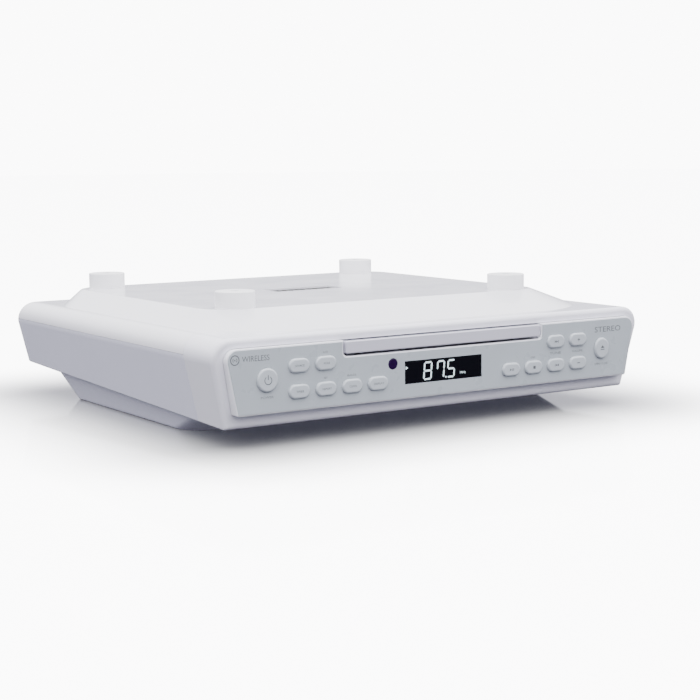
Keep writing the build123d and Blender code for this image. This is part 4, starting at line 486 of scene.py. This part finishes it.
# ------------------------------------------------------------------ stage, lights and camera
def plane(name, size, centre, material):
    """Flat square of the stage."""
    bm = bmesh.new()
    bmesh.ops.create_grid(bm, x_segments=2, y_segments=2, size=size)
    mesh = bpy.data.meshes.new(name)
    bm.to_mesh(mesh)
    bm.free()
    obj = bpy.data.objects.new(name, mesh)
    obj.location = centre
    mesh.materials.append(material)
    bpy.context.scene.collection.objects.link(obj)
    obj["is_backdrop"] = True
    return obj


FLOOR_GLOW = 9.0            # glow of the floor well away from the radio
SHADE_INSET = 0.03          # the shaded footprint is this much smaller than the radio all round
SHADE_NEAR = 0.0           # metres from the footprint where the glow starts
SHADE_FAR = 0.18            # metres from the footprint where it is full


def fade_to_white(mat, glow):
    """Let the floor glow with distance from the radio's footprint, so that it blends into the backdrop; the
    unglowing darker floor round the footprint is a painted shadow.
    """
    nodes, links = mat.nt.nodes, mat.nt.links
    steps = []
    shaded = (hi[0] - SHADE_INSET, hi[1] - SHADE_INSET, 0)
    operations = (("ABSOLUTE", None), ("SUBTRACT", shaded), ("MAXIMUM", (0, 0, 0)), ("LENGTH", None))
    for operation, value in operations:
        step = nodes.new("ShaderNodeVectorMath")
        step.operation = operation
        if value is not None:
            step.inputs[1].default_value = value
        links.new(steps[-1].outputs["Vector"] if steps else mat.coord.outputs["Object"], step.inputs[0])
        steps.append(step)
    fade = nodes.new("ShaderNodeMapRange")
    fade.interpolation_type = "SMOOTHERSTEP"
    fade.inputs["From Min"].default_value = SHADE_NEAR
    fade.inputs["From Max"].default_value = SHADE_FAR
    fade.inputs["To Max"].default_value = glow
    links.new(steps[-1].outputs["Value"], fade.inputs["Value"])
    mat.p.inputs["Emission Color"].default_value = (1, 1, 1, 1)
    links.new(fade.outputs["Result"], mat.p.inputs["Emission Strength"])


floor_mat = Mat("floor_white", (0.40, 0.40, 0.41), 0.05, ior=1.6)
floor_mat.vary_rough(3, 0.05, 0.08)
floor = plane("floor", 12, (0, 0, -0.0002), floor_mat.m)
floor.visible_diffuse = floor.visible_glossy = False
fade_to_white(floor_mat, FLOOR_GLOW)

# a far pale wall that only the camera sees
WALL_RADIUS = 11.5
WALL_HEIGHT = 16
wall_mat = Mat("backdrop_white", (0.9, 0.9, 0.9), 0.8)
wall_mat.p.inputs["Emission Color"].default_value = (1, 1, 1, 1)
wall_mat.p.inputs["Emission Strength"].default_value = FLOOR_GLOW
bm = bmesh.new()
bmesh.ops.create_cone(bm, cap_ends=False, segments=96, radius1=WALL_RADIUS, radius2=WALL_RADIUS,
                      depth=WALL_HEIGHT)
wall_mesh = bpy.data.meshes.new("backdrop")
bm.to_mesh(wall_mesh)
bm.free()
wall_mesh.materials.append(wall_mat.m)
wall = bpy.data.objects.new("backdrop", wall_mesh)
wall.location = (0, 0, 6)
bpy.context.scene.collection.objects.link(wall)
wall.visible_diffuse = wall.visible_glossy = wall.visible_shadow = wall.visible_transmission = False
wall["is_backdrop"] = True

# studio surroundings: dim near the horizon and below it, bright overhead
world = bpy.data.worlds.new("studio")
bpy.context.scene.world = world
world.use_nodes = True
wt = world.node_tree
background = wt.nodes["Background"]
background.inputs["Strength"].default_value = 1.0
wcoord = wt.nodes.new("ShaderNodeTexCoord")
split = wt.nodes.new("ShaderNodeSeparateXYZ")
wt.links.new(wcoord.outputs["Generated"], split.inputs["Vector"])
height = wt.nodes.new("ShaderNodeMapRange")
height.inputs["From Min"].default_value = -1.0
height.inputs["From Max"].default_value = 1.0
wt.links.new(split.outputs["Z"], height.inputs["Value"])
sky = wt.nodes.new("ShaderNodeValToRGB")
# height from straight down (0) to straight up (1), and the light that comes from there
STOPS = [
    (0.0, (0.08, 0.08, 0.10)),
    (0.42, (0.10, 0.10, 0.125)),
    (0.5, (0.55, 0.55, 0.70)),
    (0.57, (1.2, 1.2, 1.36)),
    (0.68, (3.4, 3.4, 3.55)),
    (1.0, (3.3, 3.3, 3.3)),
]
ramp_elements = sky.color_ramp.elements
while len(ramp_elements) < len(STOPS):
    ramp_elements.new(0.5)
for element, (at, color) in zip(ramp_elements, STOPS):
    element.position = at
    element.color = (*color, 1)
wt.links.new(height.outputs["Result"], sky.inputs["Fac"])
wt.links.new(sky.outputs["Color"], background.inputs["Color"])


def area(name, where, towards, width, height, power, color=(1, 1, 1)):
    """Rectangular lamp aimed at a point."""
    light = bpy.data.lights.new(name, "AREA")
    light.shape = "RECTANGLE"
    light.size, light.size_y = width, height
    light.energy = power
    light.color = color
    obj = bpy.data.objects.new(name, light)
    obj.location = where
    obj.rotation_mode = "QUATERNION"
    obj.rotation_quaternion = (Vector(towards) - Vector(where)).to_track_quat("-Z", "Y")
    bpy.context.scene.collection.objects.link(obj)
    return obj


sun = bpy.data.lights.new("overhead_softbox", "SUN")
sun.energy = 2.4
sun.angle = math.radians(60)
sun_obj = bpy.data.objects.new("overhead_softbox", sun)
sun_obj.rotation_mode = "QUATERNION"
sun_obj.rotation_quaternion = Vector((-0.15, 0.25, -1.0)).to_track_quat("-Z", "Y")
bpy.context.scene.collection.objects.link(sun_obj)
area("left_fill", (-1.6, 0.1, 0.45), (-0.15, 0, 0.04), 1.2, 0.7, 1, (0.88, 0.9, 1.0))

# the camera stands at the left of the front, a little above the radio
YAW, PITCH, ROLL = -0.571252445, -0.123329219, -0.0104138976
forward = Vector((-math.sin(YAW) * math.cos(PITCH), math.cos(YAW) * math.cos(PITCH), math.sin(PITCH)))
right = Vector((math.cos(YAW), math.sin(YAW), 0))
up = right.cross(forward)
turned_right = math.cos(ROLL) * right + math.sin(ROLL) * up
turned_up = -math.sin(ROLL) * right + math.cos(ROLL) * up
CAMERA_AT = (-0.591501, -0.962948, 0.172789)
cam = bpy.data.cameras.new("camera")
cam.sensor_width = 36
cam.lens = 83.283
cam_obj = bpy.data.objects.new("camera", cam)
turn = Matrix((turned_right, turned_up, -forward)).transposed()
cam_obj.matrix_world = Matrix.Translation(CAMERA_AT) @ turn.to_4x4()
cam.clip_start, cam.clip_end = 0.05, 100
bpy.context.scene.collection.objects.link(cam_obj)
bpy.context.scene.camera = cam_obj

# ------------------------------------------------------------------ end
lo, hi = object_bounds()
